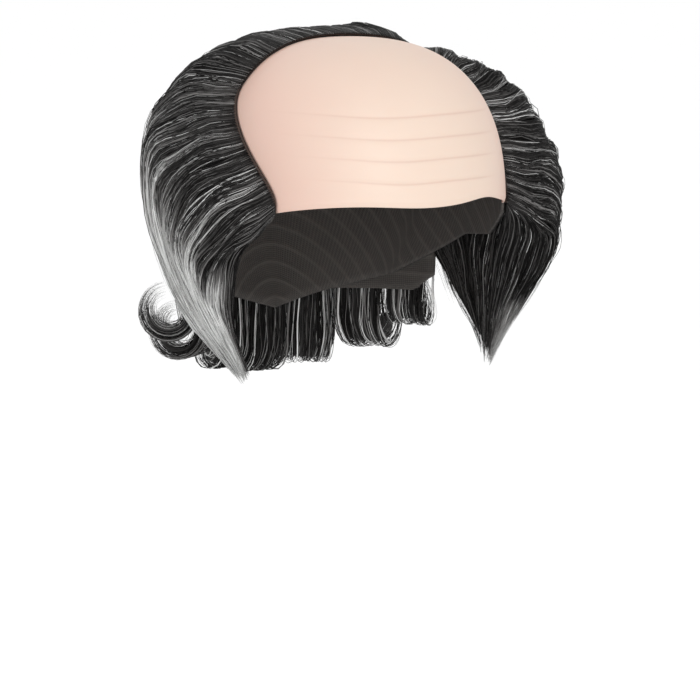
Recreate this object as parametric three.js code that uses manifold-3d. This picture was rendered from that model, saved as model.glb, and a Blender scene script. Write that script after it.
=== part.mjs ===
// Bald costume wig: a moulded rubber scalp with a creased forehead, a sewn cap behind it,
// a stitched hair track over the seam, swept-back hair in locks and a row of curls at the nape.
// Millimetres. The wearer faces -Y, their right side is -X and +Z is up.
// The origin is the middle of the head in the brow plane.
import * as THREE from "three";
import { mergeVertices } from "three/addons/utils/BufferGeometryUtils.js";
import Module from "manifold-3d";

const wasm = await Module();
wasm.setup();

const { clamp, lerp, degToRad, smoothstep } = THREE.MathUtils;

// The head that the wig fits
const HEAD = {
  halfWidth: 76.7,
  halfLength: 97.7,
  crown: 90.7, // top of the head above the brow plane
  fullness: 2.6, // exponent of the upright section: 2 would be an ellipse
  sideFall: 150, // depth below the brow plane where the sides would close
  napeFall: 105, // the same at the back, where the nape tucks in
};
const GAP = 0.4; // clear space between neighbouring pieces
const PROBE = 0.5; // step for measuring slopes

// The rubber scalp
const SCALP = {
  wall: 1.3,
  hemHeight: 9.5, // front hem above the brow plane, at the middle
  rowBend: 0.7, // how early the rows of the mesh climb the sides
  columns: 28,
  upperRows: 7,
};
const CREASE = {
  heights: [20, 32.5, 44, 56], // each crease above the brow plane, at the middle
  depth: 0.8,
  halfWidth: 2.2,
  endRise: 4, // how far the ends of a crease lift
  fadeFrom: 0.55, // share of the way to the seam where a crease starts to fade
  fadeTo: 0.82,
};

// The seam between rubber and hair, by roll about the front-back axis:
// 0 degrees is the wearer's right, 90 the top and 180 the left.
// Back angles are measured from the plane through both ears and the crown.
const SEAM = {
  cornerRoll: 3, // where the seam meets the front hem
  cornerBack: -34,
  sideBack: 3,
  crownBack: 6,
  turnFrom: 6,
  turnTo: 48,
};

// The sewn cap, and its rim as a share of the way from temple to nape
const CAP = { wall: 1.5, rows: 7 };
const CAP_RIM = [
  { share: 0.0, around: 64, height: -1 },
  { share: 0.12, around: 80, height: -16 },
  { share: 0.25, around: 96, height: -18 },
  { share: 0.5, around: 130, height: -44 },
  { share: 1.0, around: 180, height: -62 },
];

// The stitched track that the front hair is sewn to
const TRACK = { halfWidth: 1.9, height: 1.6, columns: 54 };

// How the hair lies, a row for each guide lock from the hem corner up to the crown.
// It leaves the seam at roll, passes over shoulder and bend, and ends at tip.
// Around is degrees from the middle of the forehead, and height is above the brow plane.
// The lifts are how far the outside of the hair stands off the head on the way.
// The guides of the back start a little above the last guide of the side.
const SIDE_GUIDES = [
  {
    roll: 3, shoulderAround: 75.5, shoulderHeight: -19, bendAround: 82, bendHeight: -44,
    tipAround: 77, tipHeight: -80,
    rootLift: 16, shoulderLift: 34, crestLift: 34, bellyLift: 23, neckLift: 12, tipLift: 8,
  },
  {
    roll: 14, shoulderAround: 80.5, shoulderHeight: 0, bendAround: 88.5, bendHeight: -42,
    tipAround: 78, tipHeight: -81,
    rootLift: 28, shoulderLift: 38, crestLift: 37, bellyLift: 26, neckLift: 14, tipLift: 8,
  },
  {
    roll: 26, shoulderAround: 90, shoulderHeight: 18, bendAround: 95, bendHeight: -37,
    tipAround: 79.5, tipHeight: -81,
    rootLift: 33, shoulderLift: 41, crestLift: 38, bellyLift: 27, neckLift: 16, tipLift: 8,
  },
  {
    roll: 38, shoulderAround: 106, shoulderHeight: 34, bendAround: 104, bendHeight: -31,
    tipAround: 81.5, tipHeight: -79,
    rootLift: 34, shoulderLift: 42, crestLift: 37, bellyLift: 27, neckLift: 17, tipLift: 9,
  },
  {
    roll: 48.6, shoulderAround: 120, shoulderHeight: 45, bendAround: 115, bendHeight: -26,
    tipAround: 86, tipHeight: -74,
    rootLift: 24, shoulderLift: 30.5, crestLift: 33, bellyLift: 27, neckLift: 19, tipLift: 9,
  },
];
const BACK_GUIDES = [
  {
    roll: 49.4, shoulderAround: 122, shoulderHeight: 47, bendAround: 121, bendHeight: -10,
    tipAround: 110, tipHeight: -42,
    rootLift: 22, shoulderLift: 28.5, crestLift: 31, bellyLift: 28, neckLift: 21, tipLift: 15,
  },
  {
    roll: 63, shoulderAround: 142, shoulderHeight: 60, bendAround: 144, bendHeight: 0,
    tipAround: 140, tipHeight: -44,
    rootLift: 7, shoulderLift: 11, crestLift: 21, bellyLift: 27, neckLift: 22, tipLift: 16,
  },
  {
    roll: 76, shoulderAround: 158, shoulderHeight: 68, bendAround: 162, bendHeight: 3,
    tipAround: 161, tipHeight: -46,
    rootLift: 5, shoulderLift: 6.5, crestLift: 16.5, bellyLift: 26, neckLift: 22, tipLift: 16,
  },
  {
    roll: 90, shoulderAround: 180, shoulderHeight: 72, bendAround: 180, bendHeight: 5,
    tipAround: 180, tipHeight: -47,
    rootLift: 5, shoulderLift: 6.5, crestLift: 14.5, bellyLift: 25, neckLift: 22, tipLift: 16,
  },
];
const HAIR = {
  rows: 13,
  columnsPerLock: 3,
  sideLocks: 8,
  backLocks: 13,
  rootBehindSeam: 2.6, // the hair solid starts just behind the track
  underRoot: 2.1, // inside of the hair off the head, at the seam
  sideUnder: 4, // the same at the tips of the side hair
  backUnder: 11, // and of the back hair, where the nape curls pass beneath
  thinnest: 2, // wall at the tips
  shoulderShare: 0.08, // where along a lock each lift is reached
  crestShare: 0.3,
  bellyShare: 0.52,
  neckShare: 0.75,
  leftFuller: 10, // how much further the belly of the left side stands off than the right side's
  fullerTo: 42, // roll above which that difference fades
  groove: 0.2, // depth of the furrow between two locks, as a share of the lift
  tipCut: 0.1, // how much shorter the hair is in a furrow
  lengthSpread: 0.05, // how much the locks differ in length
  lengthStep: 7, // change of length from lock to lock, in radians of a wave
};

// The curls under the back hair, fused to the strip that they are sewn to
const CURLS = {
  count: 7,
  fromAround: 117,
  stripTop: -34,
  stripBottom: -52,
  stripUnder: 2.7,
  stripOver: 5.4,
  sideDrop: -52, // where a curl at either end of the strip would turn outwards
  napeDrop: -81, // the same at the middle of the nape
  startLift: 6.5,
  hookRadius: 13,
  hookTurn: 250, // degrees that a curl turns through
  rootHalfWidth: 15,
  tipHalfWidth: 4,
  rootHalfThickness: 2.8,
  hookHalfThickness: 4.6,
  tipHalfThickness: 2,
  lean: 7, // most degrees that a curl drifts sideways
  leanStep: 2.2, // change of drift from curl to curl, in radians of a wave
  sides: 8,
  steps: 14,
};

const mirrored = (roll) => Math.min(roll, 180 - roll);
const sideOf = (roll) => (roll > 90 ? 1 : -1);

// The two rows of a table on either side of a value of its key column.
function neighbours(rows, key, at) {
  const found = rows.findIndex((row) => row[key] >= at);
  const upper = Math.max(1, found < 0 ? rows.length - 1 : found);
  return [rows[upper - 1], rows[upper]];
}

// A column of a table, eased from row to row.
function eased(rows, key, column, at) {
  const [lower, upper] = neighbours(rows, key, at);
  return lerp(lower[column], upper[column], smoothstep(at, lower[key], upper[key]));
}

// A column of a table, with straight lines from row to row.
function between(rows, key, column, at) {
  const [lower, upper] = neighbours(rows, key, at);
  const share = clamp((at - lower[key]) / (upper[key] - lower[key]), 0, 1);
  return lerp(lower[column], upper[column], share);
}

// How deep the head form reaches below the brow plane in the direction of a point.
function fallOf(x, y) {
  const toBack = Math.max(0, y) / (Math.hypot(x, y) || 1);
  return lerp(HEAD.sideFall, HEAD.napeFall, toBack ** 2);
}

// 1 on the head form, less inside it and more outside.
function headScale(p) {
  const flat = Math.hypot(p.x / HEAD.halfWidth, p.y / HEAD.halfLength);
  const upright = p.z >= 0 ? p.z / HEAD.crown : -p.z / fallOf(p.x, p.y);
  return (flat ** HEAD.fullness + upright ** HEAD.fullness) ** (1 / HEAD.fullness);
}

// The outward normal of the head form, from the slope over a short probe each way.
function headNormal(p) {
  const slope = (axis) => {
    const step = new THREE.Vector3()[`set${axis}`](PROBE);
    return headScale(p.clone().add(step)) - headScale(p.clone().sub(step));
  };
  return new THREE.Vector3(slope("X"), slope("Y"), slope("Z")).normalize();
}

// The point on the head form in a direction, lifted off it along its normal.
function onHead(direction, lift = 0) {
  const p = direction.clone().divideScalar(headScale(direction));
  return lift === 0 ? p : p.addScaledVector(headNormal(p), lift);
}

// The point of the head form at an angle from the forehead and a height above the brow plane.
function headAt(around, height) {
  const angle = degToRad(around);
  const x = HEAD.halfWidth * Math.sin(angle);
  const y = -HEAD.halfLength * Math.cos(angle);
  const reach = height >= 0 ? HEAD.crown : fallOf(x, y);
  const shrink = (1 - (Math.abs(height) / reach) ** HEAD.fullness) ** (1 / HEAD.fullness);
  return new THREE.Vector3(x * shrink, y * shrink, height);
}

// The direction of the seam at a roll, moved back by a distance in millimetres.
function seamDirection(roll, behind = 0) {
  const m = mirrored(roll);
  const climb = smoothstep(m, SEAM.turnFrom, SEAM.turnTo);
  const overTop = smoothstep(m, SEAM.turnTo, 90);
  const back =
    lerp(SEAM.cornerBack, SEAM.sideBack, climb) + (SEAM.crownBack - SEAM.sideBack) * overTop;
  const tilt = degToRad(back) + behind / HEAD.halfLength;
  const turn = degToRad(roll);
  return new THREE.Vector3(
    -Math.cos(turn) * Math.cos(tilt),
    Math.sin(tilt),
    Math.sin(turn) * Math.cos(tilt),
  );
}

// Turns a closed three.js shape into another: place moves each of its points.
function reshape(base, place) {
  base.deleteAttribute("normal");
  base.deleteAttribute("uv");
  const whole = mergeVertices(base);
  const position = whole.getAttribute("position");
  const p = new THREE.Vector3();
  for (let i = 0; i < position.count; i += 1) {
    position.setXYZ(i, ...place(p.fromBufferAttribute(position, i)).toArray());
  }
  return solidOf(mergeVertices(whole, 1e-3));
}

// A closed mesh as a solid that faces outwards, without the triangles that a pinched edge leaves.
function solidOf(geometry) {
  const index = geometry.getIndex().array;
  const at = geometry.getAttribute("position").array;
  const corner = (i) => new THREE.Vector3().fromArray(at, 3 * i);
  const kept = [];
  let volume = 0;
  for (let i = 0; i < index.length; i += 3) {
    const [a, b, c] = index.slice(i, i + 3);
    if (a !== b && b !== c && c !== a) {
      kept.push([a, b, c]);
      volume += corner(a).dot(corner(b).cross(corner(c)));
    }
  }
  const triVerts = new Uint32Array(kept.flatMap(([a, b, c]) => (volume > 0 ? [a, b, c] : [a, c, b])));
  return new wasm.Manifold(new wasm.Mesh({ numProp: 3, vertProperties: at, triVerts }));
}

// A solid's surface as a three.js geometry.
function geometryOf(solid) {
  const { vertProperties, triVerts } = solid.getMesh();
  const geometry = new THREE.BufferGeometry();
  geometry.setAttribute("position", new THREE.BufferAttribute(vertProperties, 3));
  geometry.setIndex(new THREE.BufferAttribute(triVerts, 1));
  geometry.computeVertexNormals();
  return geometry;
}

// A block of unit size with its corner at the origin, as points (u, v, w) from 0 to 1.
function unitBlock(columns, rows, layers = 1) {
  return new THREE.BoxGeometry(1, 1, 1, columns, rows, layers).translate(0.5, 0.5, 0.5);
}

// Angle of a height on the middle of the forehead, above the brow plane.
function foreheadLatitude(height) {
  const p = headAt(0, height);
  return Math.atan2(p.z, -p.y);
}

// Latitudes of the scalp's rows: the hem, three rows for each crease, then even rows to the crown.
function scalpRows() {
  const edges = CREASE.heights.flatMap((h) => [h - CREASE.halfWidth, h, h + CREASE.halfWidth]);
  const low = [SCALP.hemHeight, ...edges].map(foreheadLatitude);
  const top = degToRad(90 + SEAM.crownBack);
  const from = low[low.length - 1];
  const high = Array.from({ length: SCALP.upperRows }, (_, i) =>
    lerp(from, top, (i + 1) / SCALP.upperRows),
  );
  return [...low, ...high];
}

// Rolls of the seam at the end of each row of the scalp, from the hem corner to the crown.
function seamRolls(rows) {
  const hem = rows[0];
  const top = rows[rows.length - 1];
  return rows.map((latitude) =>
    lerp(SEAM.cornerRoll, 90, ((latitude - hem) / (top - hem)) ** SCALP.rowBend),
  );
}

// How far the rubber is pressed in at a height, and at a share of the way from the middle to a seam.
function creaseDepth(height, aside) {
  const level = height - CREASE.endRise * aside ** 2;
  const fade = 1 - smoothstep(Math.abs(aside), CREASE.fadeFrom, CREASE.fadeTo);
  const nearest = Math.min(...CREASE.heights.map((h) => Math.abs(level - h)));
  return CREASE.depth * fade * (1 - smoothstep(nearest, 0, CREASE.halfWidth));
}

// The rubber scalp, from the front hem back to the seam, pinched to a point at the crown.
function baldScalp() {
  const rows = scalpRows();
  const rolls = seamRolls(rows);
  const place = ({ x: u, y: v, z: w }) => {
    const aside = 2 * u - 1;
    const row = Math.round(v * (rows.length - 1));
    const edge = seamDirection(rolls[row], -GAP / 2);
    const spread = aside * Math.asin(Math.min(1, -edge.x));
    const edgeLatitude = Math.atan2(edge.z, -edge.y);
    const lat = lerp(rows[row], edgeLatitude, aside ** 2);
    const direction = new THREE.Vector3(
      Math.sin(spread),
      -Math.cos(spread) * Math.cos(lat),
      Math.cos(spread) * Math.sin(lat),
    );
    const height = onHead(direction).z;
    return onHead(direction, w * SCALP.wall - creaseDepth(height, aside));
  };
  return reshape(unitBlock(SCALP.columns, rows.length - 1), place);
}

// The cap meets the scalp point for point along the seam.
function sewnCap() {
  const right = seamRolls(scalpRows());
  const left = right.slice(0, -1).map((roll) => 180 - roll);
  const rolls = [...right, ...left.reverse()];
  const columns = rolls.length - 1;
  const place = ({ x: u, y: v, z: w }) => {
    const roll = rolls[Math.round(u * columns)];
    const share = (mirrored(roll) - SEAM.cornerRoll) / (90 - SEAM.cornerRoll);
    const from = seamDirection(roll, GAP / 2);
    const around = sideOf(roll) * eased(CAP_RIM, "share", "around", share);
    const to = headAt(around, eased(CAP_RIM, "share", "height", share)).normalize();
    const span = from.angleTo(to);
    const direction = from
      .multiplyScalar(Math.sin((1 - v) * span))
      .addScaledVector(to, Math.sin(v * span));
    return onHead(direction, w * CAP.wall);
  };
  return reshape(unitBlock(columns, CAP.rows), place);
}

// The track lies over the seam, half on the rubber and half on the cap.
function hairTrack() {
  const under = Math.max(SCALP.wall, CAP.wall) + GAP;
  const place = ({ x: u, y: v, z: w }) => {
    const roll = lerp(SEAM.cornerRoll, 180 - SEAM.cornerRoll, u);
    const behind = (2 * v - 1) * TRACK.halfWidth;
    return onHead(seamDirection(roll, behind), under + w * TRACK.height);
  };
  return reshape(unitBlock(TRACK.columns, 1), place);
}

// The way that the hair of one roll lies over the head, as a curve of directions.
function hairCourse(guides, roll) {
  const m = mirrored(roll);
  const waypoint = (name) =>
    headAt(
      sideOf(roll) * between(guides, "roll", `${name}Around`, m),
      between(guides, "roll", `${name}Height`, m),
    );
  const root = onHead(seamDirection(roll, HAIR.rootBehindSeam));
  const points = [root, waypoint("shoulder"), waypoint("bend"), waypoint("tip")];
  return new THREE.CatmullRomCurve3(points, false, "centripetal");
}

// How far the outside of the hair stands off the head, at a share of the way to the tip.
// Fuller hair stands off further at the belly, and half as much above and below it.
function hairLift(guides, roll, share, fuller) {
  const m = mirrored(roll);
  const column = (name) => between(guides, "roll", name, m);
  const extra = fuller * (1 - smoothstep(m, HAIR.fullerTo, guides[guides.length - 1].roll));
  const knots = [
    { share: 0, lift: column("rootLift") + extra / 2 },
    { share: HAIR.shoulderShare, lift: column("shoulderLift") + extra / 2 },
    { share: HAIR.crestShare, lift: column("crestLift") + extra / 2 },
    { share: HAIR.bellyShare, lift: column("bellyLift") + extra },
    { share: HAIR.neckShare, lift: column("neckLift") + extra / 2 },
    { share: 1, lift: column("tipLift") },
  ];
  return eased(knots, "share", "lift", share);
}

// Hair from one roll to another, as a mass with a furrow between each two locks.
function hairMass(guides, fromRoll, toRoll, locks, underTip, fuller) {
  const columns = locks * HAIR.columnsPerLock;
  const courses = Array.from({ length: columns + 1 }, (_, i) =>
    hairCourse(guides, lerp(fromRoll, toRoll, i / columns)),
  );
  const place = ({ x: u, y: v, z: w }) => {
    const roll = lerp(fromRoll, toRoll, u);
    const along = u * locks;
    const crest = Math.sqrt(Math.abs(Math.sin(Math.PI * along)));
    const uneven = HAIR.lengthSpread * Math.sin(HAIR.lengthStep * Math.floor(along)) * crest;
    const reach = 1 - HAIR.tipCut * (1 - crest) - HAIR.lengthSpread + uneven;
    const share = v * reach;
    const under = lerp(HAIR.underRoot, underTip, smoothstep(share, 0, HAIR.neckShare));
    const relief = 1 - HAIR.groove * (1 - crest);
    const over = Math.max(hairLift(guides, roll, share, fuller) * relief, under + HAIR.thinnest);
    const direction = courses[Math.round(u * columns)].getPointAt(share);
    return onHead(direction, lerp(under, over, w));
  };
  return reshape(unitBlock(columns, HAIR.rows), place);
}

// One curl: it hangs from the strip, lower towards the middle of the nape, and hooks outwards
// and up, thinner towards its tip.
function curl(around, lean) {
  const turn = degToRad(CURLS.hookTurn);
  const inwards = 1 - Math.abs(180 - around) / (180 - CURLS.fromAround);
  const dropTo = lerp(CURLS.sideDrop, CURLS.napeDrop, Math.sin((inwards * Math.PI) / 2));
  const drop = CURLS.stripTop - dropTo;
  const length = drop + turn * CURLS.hookRadius;
  const fallen = (travel) => Math.min(1, travel / drop);
  const hooked = (travel) => Math.max(0, (travel - drop) / (length - drop));
  const centre = (travel) => {
    const angle = turn * hooked(travel);
    const height = CURLS.stripTop - drop * fallen(travel);
    const root = headAt(around + lean * hooked(travel), Math.max(height, CURLS.stripBottom)).setZ(height);
    const outwards = headNormal(root).setZ(0).normalize();
    const lift = CURLS.startLift + CURLS.hookRadius * (1 - Math.cos(angle));
    const below = new THREE.Vector3(0, 0, -CURLS.hookRadius * Math.sin(angle));
    return root.addScaledVector(outwards, lift).add(below);
  };
  const angle = degToRad(around);
  const across = new THREE.Vector3(Math.cos(angle), Math.sin(angle), 0);
  const place = ({ x, y, z }) => {
    const travel = (y + 0.5) * length;
    const along = centre(travel + PROBE).sub(centre(travel - PROBE));
    const outside = across.clone().cross(along).normalize();
    const taper = hooked(travel) ** 2;
    const swell = lerp(CURLS.rootHalfThickness, CURLS.hookHalfThickness, fallen(travel));
    return centre(travel)
      .addScaledVector(across, x * lerp(CURLS.rootHalfWidth, CURLS.tipHalfWidth, taper))
      .addScaledVector(outside, z * lerp(swell, CURLS.tipHalfThickness, taper));
  };
  return reshape(new THREE.CylinderGeometry(1, 1, 1, CURLS.sides, CURLS.steps), place);
}

// The strip round the nape with its curls.
function napeCurls() {
  const span = 2 * (180 - CURLS.fromAround);
  let whole = reshape(unitBlock(2 * CURLS.count, 2), ({ x: u, y: v, z: w }) => {
    const root = headAt(CURLS.fromAround + u * span, lerp(CURLS.stripTop, CURLS.stripBottom, v));
    return onHead(root, lerp(CURLS.stripUnder, CURLS.stripOver, w));
  });
  for (let i = 0; i < CURLS.count; i += 1) {
    const around = CURLS.fromAround + (span * (i + 0.5)) / CURLS.count;
    whole = whole.add(curl(around, CURLS.lean * Math.sin(CURLS.leanStep * (i + 1))));
  }
  return whole;
}

const RUBBER = new THREE.MeshStandardMaterial({ color: 0xf3d8c8, roughness: 0.55, metalness: 0 });
const NET = new THREE.MeshStandardMaterial({ color: 0x2b2624, roughness: 0.95, metalness: 0 });
const THREAD = new THREE.MeshStandardMaterial({ color: 0x2a1d18, roughness: 0.9, metalness: 0 });
const DARK_HAIR = new THREE.MeshStandardMaterial({ color: 0x403e3e, roughness: 0.45, metalness: 0 });
const GREY_HAIR = new THREE.MeshStandardMaterial({ color: 0x77777a, roughness: 0.45, metalness: 0 });

const wig = new THREE.Group();

function addPiece(name, solid, material) {
  const piece = new THREE.Mesh(geometryOf(solid), material);
  piece.name = name;
  wig.add(piece);
}

const sideFrom = SIDE_GUIDES[0].roll;
const sideTo = SIDE_GUIDES[SIDE_GUIDES.length - 1].roll;
const backFrom = BACK_GUIDES[0].roll;
const sideHair = (from, to, fuller) =>
  hairMass(SIDE_GUIDES, from, to, HAIR.sideLocks, HAIR.sideUnder, fuller);
const backHair = hairMass(BACK_GUIDES, backFrom, 180 - backFrom, HAIR.backLocks, HAIR.backUnder, 0);

addPiece("bald_scalp", baldScalp(), RUBBER);
addPiece("wig_cap", sewnCap(), NET);
addPiece("hair_track", hairTrack(), THREAD);
addPiece("hair_right_side", sideHair(sideFrom, sideTo, 0), DARK_HAIR);
addPiece("hair_left_side", sideHair(180 - sideTo, 180 - sideFrom, HAIR.leftFuller), DARK_HAIR);
addPiece("hair_back", backHair, DARK_HAIR);
addPiece("nape_curls", napeCurls(), GREY_HAIR);

export default wig;
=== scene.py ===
"""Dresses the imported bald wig: rubber scalp, sewn cap, stitched track, combed hair and nape curls.

Metres and degrees. The wearer faces -Y, their right side is -X and +Z is up.
The origin is the middle of the head in the brow plane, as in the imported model.
"""
import math
from dataclasses import dataclass

import bpy
import numpy as np
from bpy.props import FloatProperty, FloatVectorProperty, IntProperty, PointerProperty
from bpy.types import Operator, Panel, PropertyGroup
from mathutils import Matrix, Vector


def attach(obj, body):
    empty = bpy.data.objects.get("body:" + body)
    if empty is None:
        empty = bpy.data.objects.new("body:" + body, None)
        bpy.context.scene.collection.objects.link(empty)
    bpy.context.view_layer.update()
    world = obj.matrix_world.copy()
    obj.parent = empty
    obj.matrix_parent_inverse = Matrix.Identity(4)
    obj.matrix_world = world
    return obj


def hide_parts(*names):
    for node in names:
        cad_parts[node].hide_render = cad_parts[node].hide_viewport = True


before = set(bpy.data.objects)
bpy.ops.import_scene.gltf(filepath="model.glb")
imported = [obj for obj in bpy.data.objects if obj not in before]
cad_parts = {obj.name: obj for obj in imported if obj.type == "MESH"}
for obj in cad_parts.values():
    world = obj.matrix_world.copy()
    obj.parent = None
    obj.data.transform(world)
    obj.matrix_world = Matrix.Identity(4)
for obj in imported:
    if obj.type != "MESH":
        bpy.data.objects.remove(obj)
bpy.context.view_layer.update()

bl_info = {
    "name": "Bald wig",
    "version": (1, 0, 0),
    "blender": (4, 5, 0),
    "location": "3D View > Sidebar > Wig",
    "description": "Makes the pieces of a bald wig with combed-back hair over its packed solids",
    "category": "Add Mesh",
}

# The head form that every piece follows
HALF_WIDTH = 0.0767
HALF_LENGTH = 0.0977
CROWN = 0.0907  # top of the head above the brow plane
FULLNESS = 2.6  # exponent of the upright section
SIDE_FALL = 0.150  # depth below the brow plane where the sides would close
NAPE_FALL = 0.105  # the same at the back
PROBE = 0.0005  # step for measuring slopes

# The seam between rubber and hair, by roll about the front-back axis
CORNER_ROLL = 3.0  # where it meets the front hem; 90 is the crown and 177 the other corner
CORNER_BACK, SIDE_BACK, CROWN_BACK = -34.0, 3.0, 6.0  # degrees behind the ears
TURN_FROM, TURN_TO = 6.0, 48.0  # rolls over which it turns from the hem corner to the side
SEAM_GAP = 0.0002  # the scalp and the cap each stay this far from the seam

# The rubber scalp
HEM_HEIGHT = 0.0095
HEM_FALLS_AS = 3  # power of the way aside by which the hem falls to its corners
PATCH_ROLL = 58.0  # the upper corners of the scalp's grid lie on the seam at this roll
HEM_WALL, HEM_THINS = 0.55, 0.05  # share of the wall at the hem, and how far up it is thinner
EDGE_SHADE_SQUASH, EDGE_SHADE_FADE = 0.72, (0.30, 1.0)  # where painted shade turns the rubber darker and pinker towards the seam
HEM_LIFT, HEM_LIFT_ASIDE, HEM_LIFT_SPREAD = 0.0022, 0.42, 0.20  # the hem's rise over the left brow
HEM_SAG, HEM_SAG_ASIDE, HEM_SAG_SPREAD = 0.0017, -0.10, 0.30  # and its sag beside the middle
CREASE_HEIGHTS = (0.0215, 0.0330, 0.0439, 0.0549)
CREASED_PART, CREASED_ROWS = 0.45, 0.66  # the creased part of the scalp, and its share of the rows
CREASE_END_RISE = 0.001
CREASE_SAG, CREASE_SAG_ASIDE, CREASE_SAG_SPREAD = 0.0016, -0.22, 0.24  # the dip right of the middle
CREASE_FADE = (-0.86, -0.20, 0.30, 0.56)  # from nothing to full on the right, and back on the left
DENT_PLACE, DENT_RADIUS = np.array([0.015, -0.052, 0.0825]), 0.007  # one soft dent near the crown

# The rim of the cap: share of the way from temple to nape, degrees from the forehead, height
RIM_SHARE = (0.0, 0.12, 0.25, 0.5, 1.0)
RIM_AROUND = (64.0, 80.0, 96.0, 130.0, 180.0)
RIM_HEIGHT = (-0.001, -0.016, -0.018, -0.044, -0.062)
BINDING_FROM = 0.96  # share of the way from seam to rim where the rim's binding starts
ROW_SHARPNESS = 6.0  # power that narrows the sewn rows of the net

# The stitches over the track, in shares of its half width and its height
STITCH_INSET = 0.4  # degrees of roll from an end of the track to the nearest stitch
STITCH_PAST = 1.12  # how far a stitch reaches to each side
STITCH_FOOT, STITCH_ARCH, STITCH_BEND = 0.25, 0.95, 0.96  # its arch's base, rise and share of a half round
STITCH_POINTS, STITCH_SIDES = 6, 5

# How the hair lies. A row is a guide lock: the roll where it leaves the seam, the places that it
# passes (degrees from the forehead, height), and how far its outside stands off the head.
GUIDE_COLUMNS = (
    "roll", "shoulder_around", "shoulder_height", "bend_around", "bend_height", "tip_around", "tip_height",
    "root_lift", "shoulder_lift", "crest_lift", "belly_lift", "neck_lift", "tip_lift",
)
SIDE_GUIDES = (
    (3.0, 75.5, -0.019, 82.0, -0.044, 77.0, -0.080, 0.016, 0.034, 0.034, 0.023, 0.012, 0.008),
    (14.0, 80.5, 0.000, 88.5, -0.042, 78.0, -0.081, 0.028, 0.038, 0.037, 0.026, 0.014, 0.008),
    (26.0, 90.0, 0.018, 95.0, -0.037, 79.5, -0.081, 0.033, 0.041, 0.038, 0.027, 0.016, 0.008),
    (38.0, 106.0, 0.034, 104.0, -0.031, 81.5, -0.079, 0.034, 0.042, 0.037, 0.027, 0.017, 0.009),
    (48.6, 120.0, 0.045, 115.0, -0.026, 86.0, -0.074, 0.024, 0.0305, 0.033, 0.027, 0.019, 0.009),
)
BACK_GUIDES = (
    (49.4, 121.0, 0.047, 117.0, -0.011, 105.0, -0.042, 0.022, 0.0285, 0.031, 0.028, 0.021, 0.015),
    (63.0, 142.0, 0.060, 144.0, 0.000, 140.0, -0.044, 0.007, 0.011, 0.021, 0.027, 0.022, 0.016),
    (76.0, 158.0, 0.068, 162.0, 0.003, 161.0, -0.046, 0.005, 0.0065, 0.0165, 0.026, 0.022, 0.016),
    (90.0, 180.0, 0.072, 180.0, 0.005, 180.0, -0.047, 0.005, 0.0065, 0.0145, 0.025, 0.022, 0.016),
)
LIFT_COLUMNS = GUIDE_COLUMNS[7:]
LIFT_SHARES = (0.0, 0.08, 0.30, 0.52, 0.75, 1.0)  # where along a lock each lift is reached
FULLER_SHARES = (0.5, 0.5, 0.5, 1.15, 0.9, 0.0)  # how much of its extra stand fuller hair has there
FULLER_FADE = (42.0, 48.6)  # rolls over which the extra stand ends
HAIR_UNDER = 0.0024  # inside of the hair off the head, at the seam
ROOT_BEHIND = -0.0015  # the roots leave the front edge of the track
DROOPS = (0.34, 0.22)  # share that the stand of the hair sinks on the right and on the left
DROOP_FADES = ((40.0, 78.0), (8.0, 40.0))  # and the rolls over which that ends
CORNER_SLOWER, CORNER_CALM = 1.5, 26.0  # hair stands up more slowly at the hem corners, up to this roll
# Rolls near the crown where the hair stands off less or more near the seam: middle, spread, share
CROWN_FORMS = ((118.0, 5.0, -0.55), (107.0, 6.0, 0.35))
CROWN_FORM_FADE = (0.2, 0.6)  # share of a lock over which those forms end
PALE_SPAN = 0.24  # share of a lock over which it turns pale
FRONT_SPAN = 6.0  # rolls at the temple over which hair fills its whole depth
FLOW_COLUMNS, FLOW_ROWS, SPAN_STEPS = 60, 48, 16

# How locks and strands differ, as shares unless a unit is named
PHASE_SEED, REACH_SEED, SWING_SEED = 1, 2, 3  # added to the seed, so that each choice has its own draws
DENSE_REACH = (0.9, 1.05)  # shortest and longest lock of the dense hair
DENSE_GAP_RUN = 0.03  # metres over which the inside of the dense hair leaves the head
DENSE_INSIDE_PALE = 0.2  # how pale that inside turns
PHASE_STEP = 0.8  # spread in radians between the waves of neighbouring locks
WAVE_GROWS = (0.002, 0.022)  # metres of run over which waves set in
WAVE_CALMS = 0.5  # how much calmer they are at the tip
LOCK_SWING = (0.5, 1.0)  # how much of its section's wave a lock has
OWN_WAVE = (0.5, 1.1)  # length of a strand's own wave to its section's
DRAW_FADE = (0.05, 0.9)  # part of a strand over which it draws in to its lock
DRIFT_SPAN = 0.5  # part of a strand over which its drift sets in
LENGTH_SPREAD, LENGTH_MOST = 0.02, 1.03  # how strands differ in length, and the most to the longest lock
INNER_MOST = 0.12  # how high in the hair its inner strands lie at most
STRAY_MOST = 1.07  # how high strays stand at most
RISE_LEAST = 0.85  # the shortest rise of a strand to its section's
ROOT_WIDTH, ROOT_GROWTH, ROOT_GROWTH_SPAN = 0.55, 0.45, 0.25  # width at the root, and its growth from there
TIP_LOSS, TIP_LOSS_FROM = 0.85, 0.5  # width lost at the tip, and where that starts
WIDTH_RANGE = (0.6, 1.35)  # width of a strand to its layer's

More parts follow.
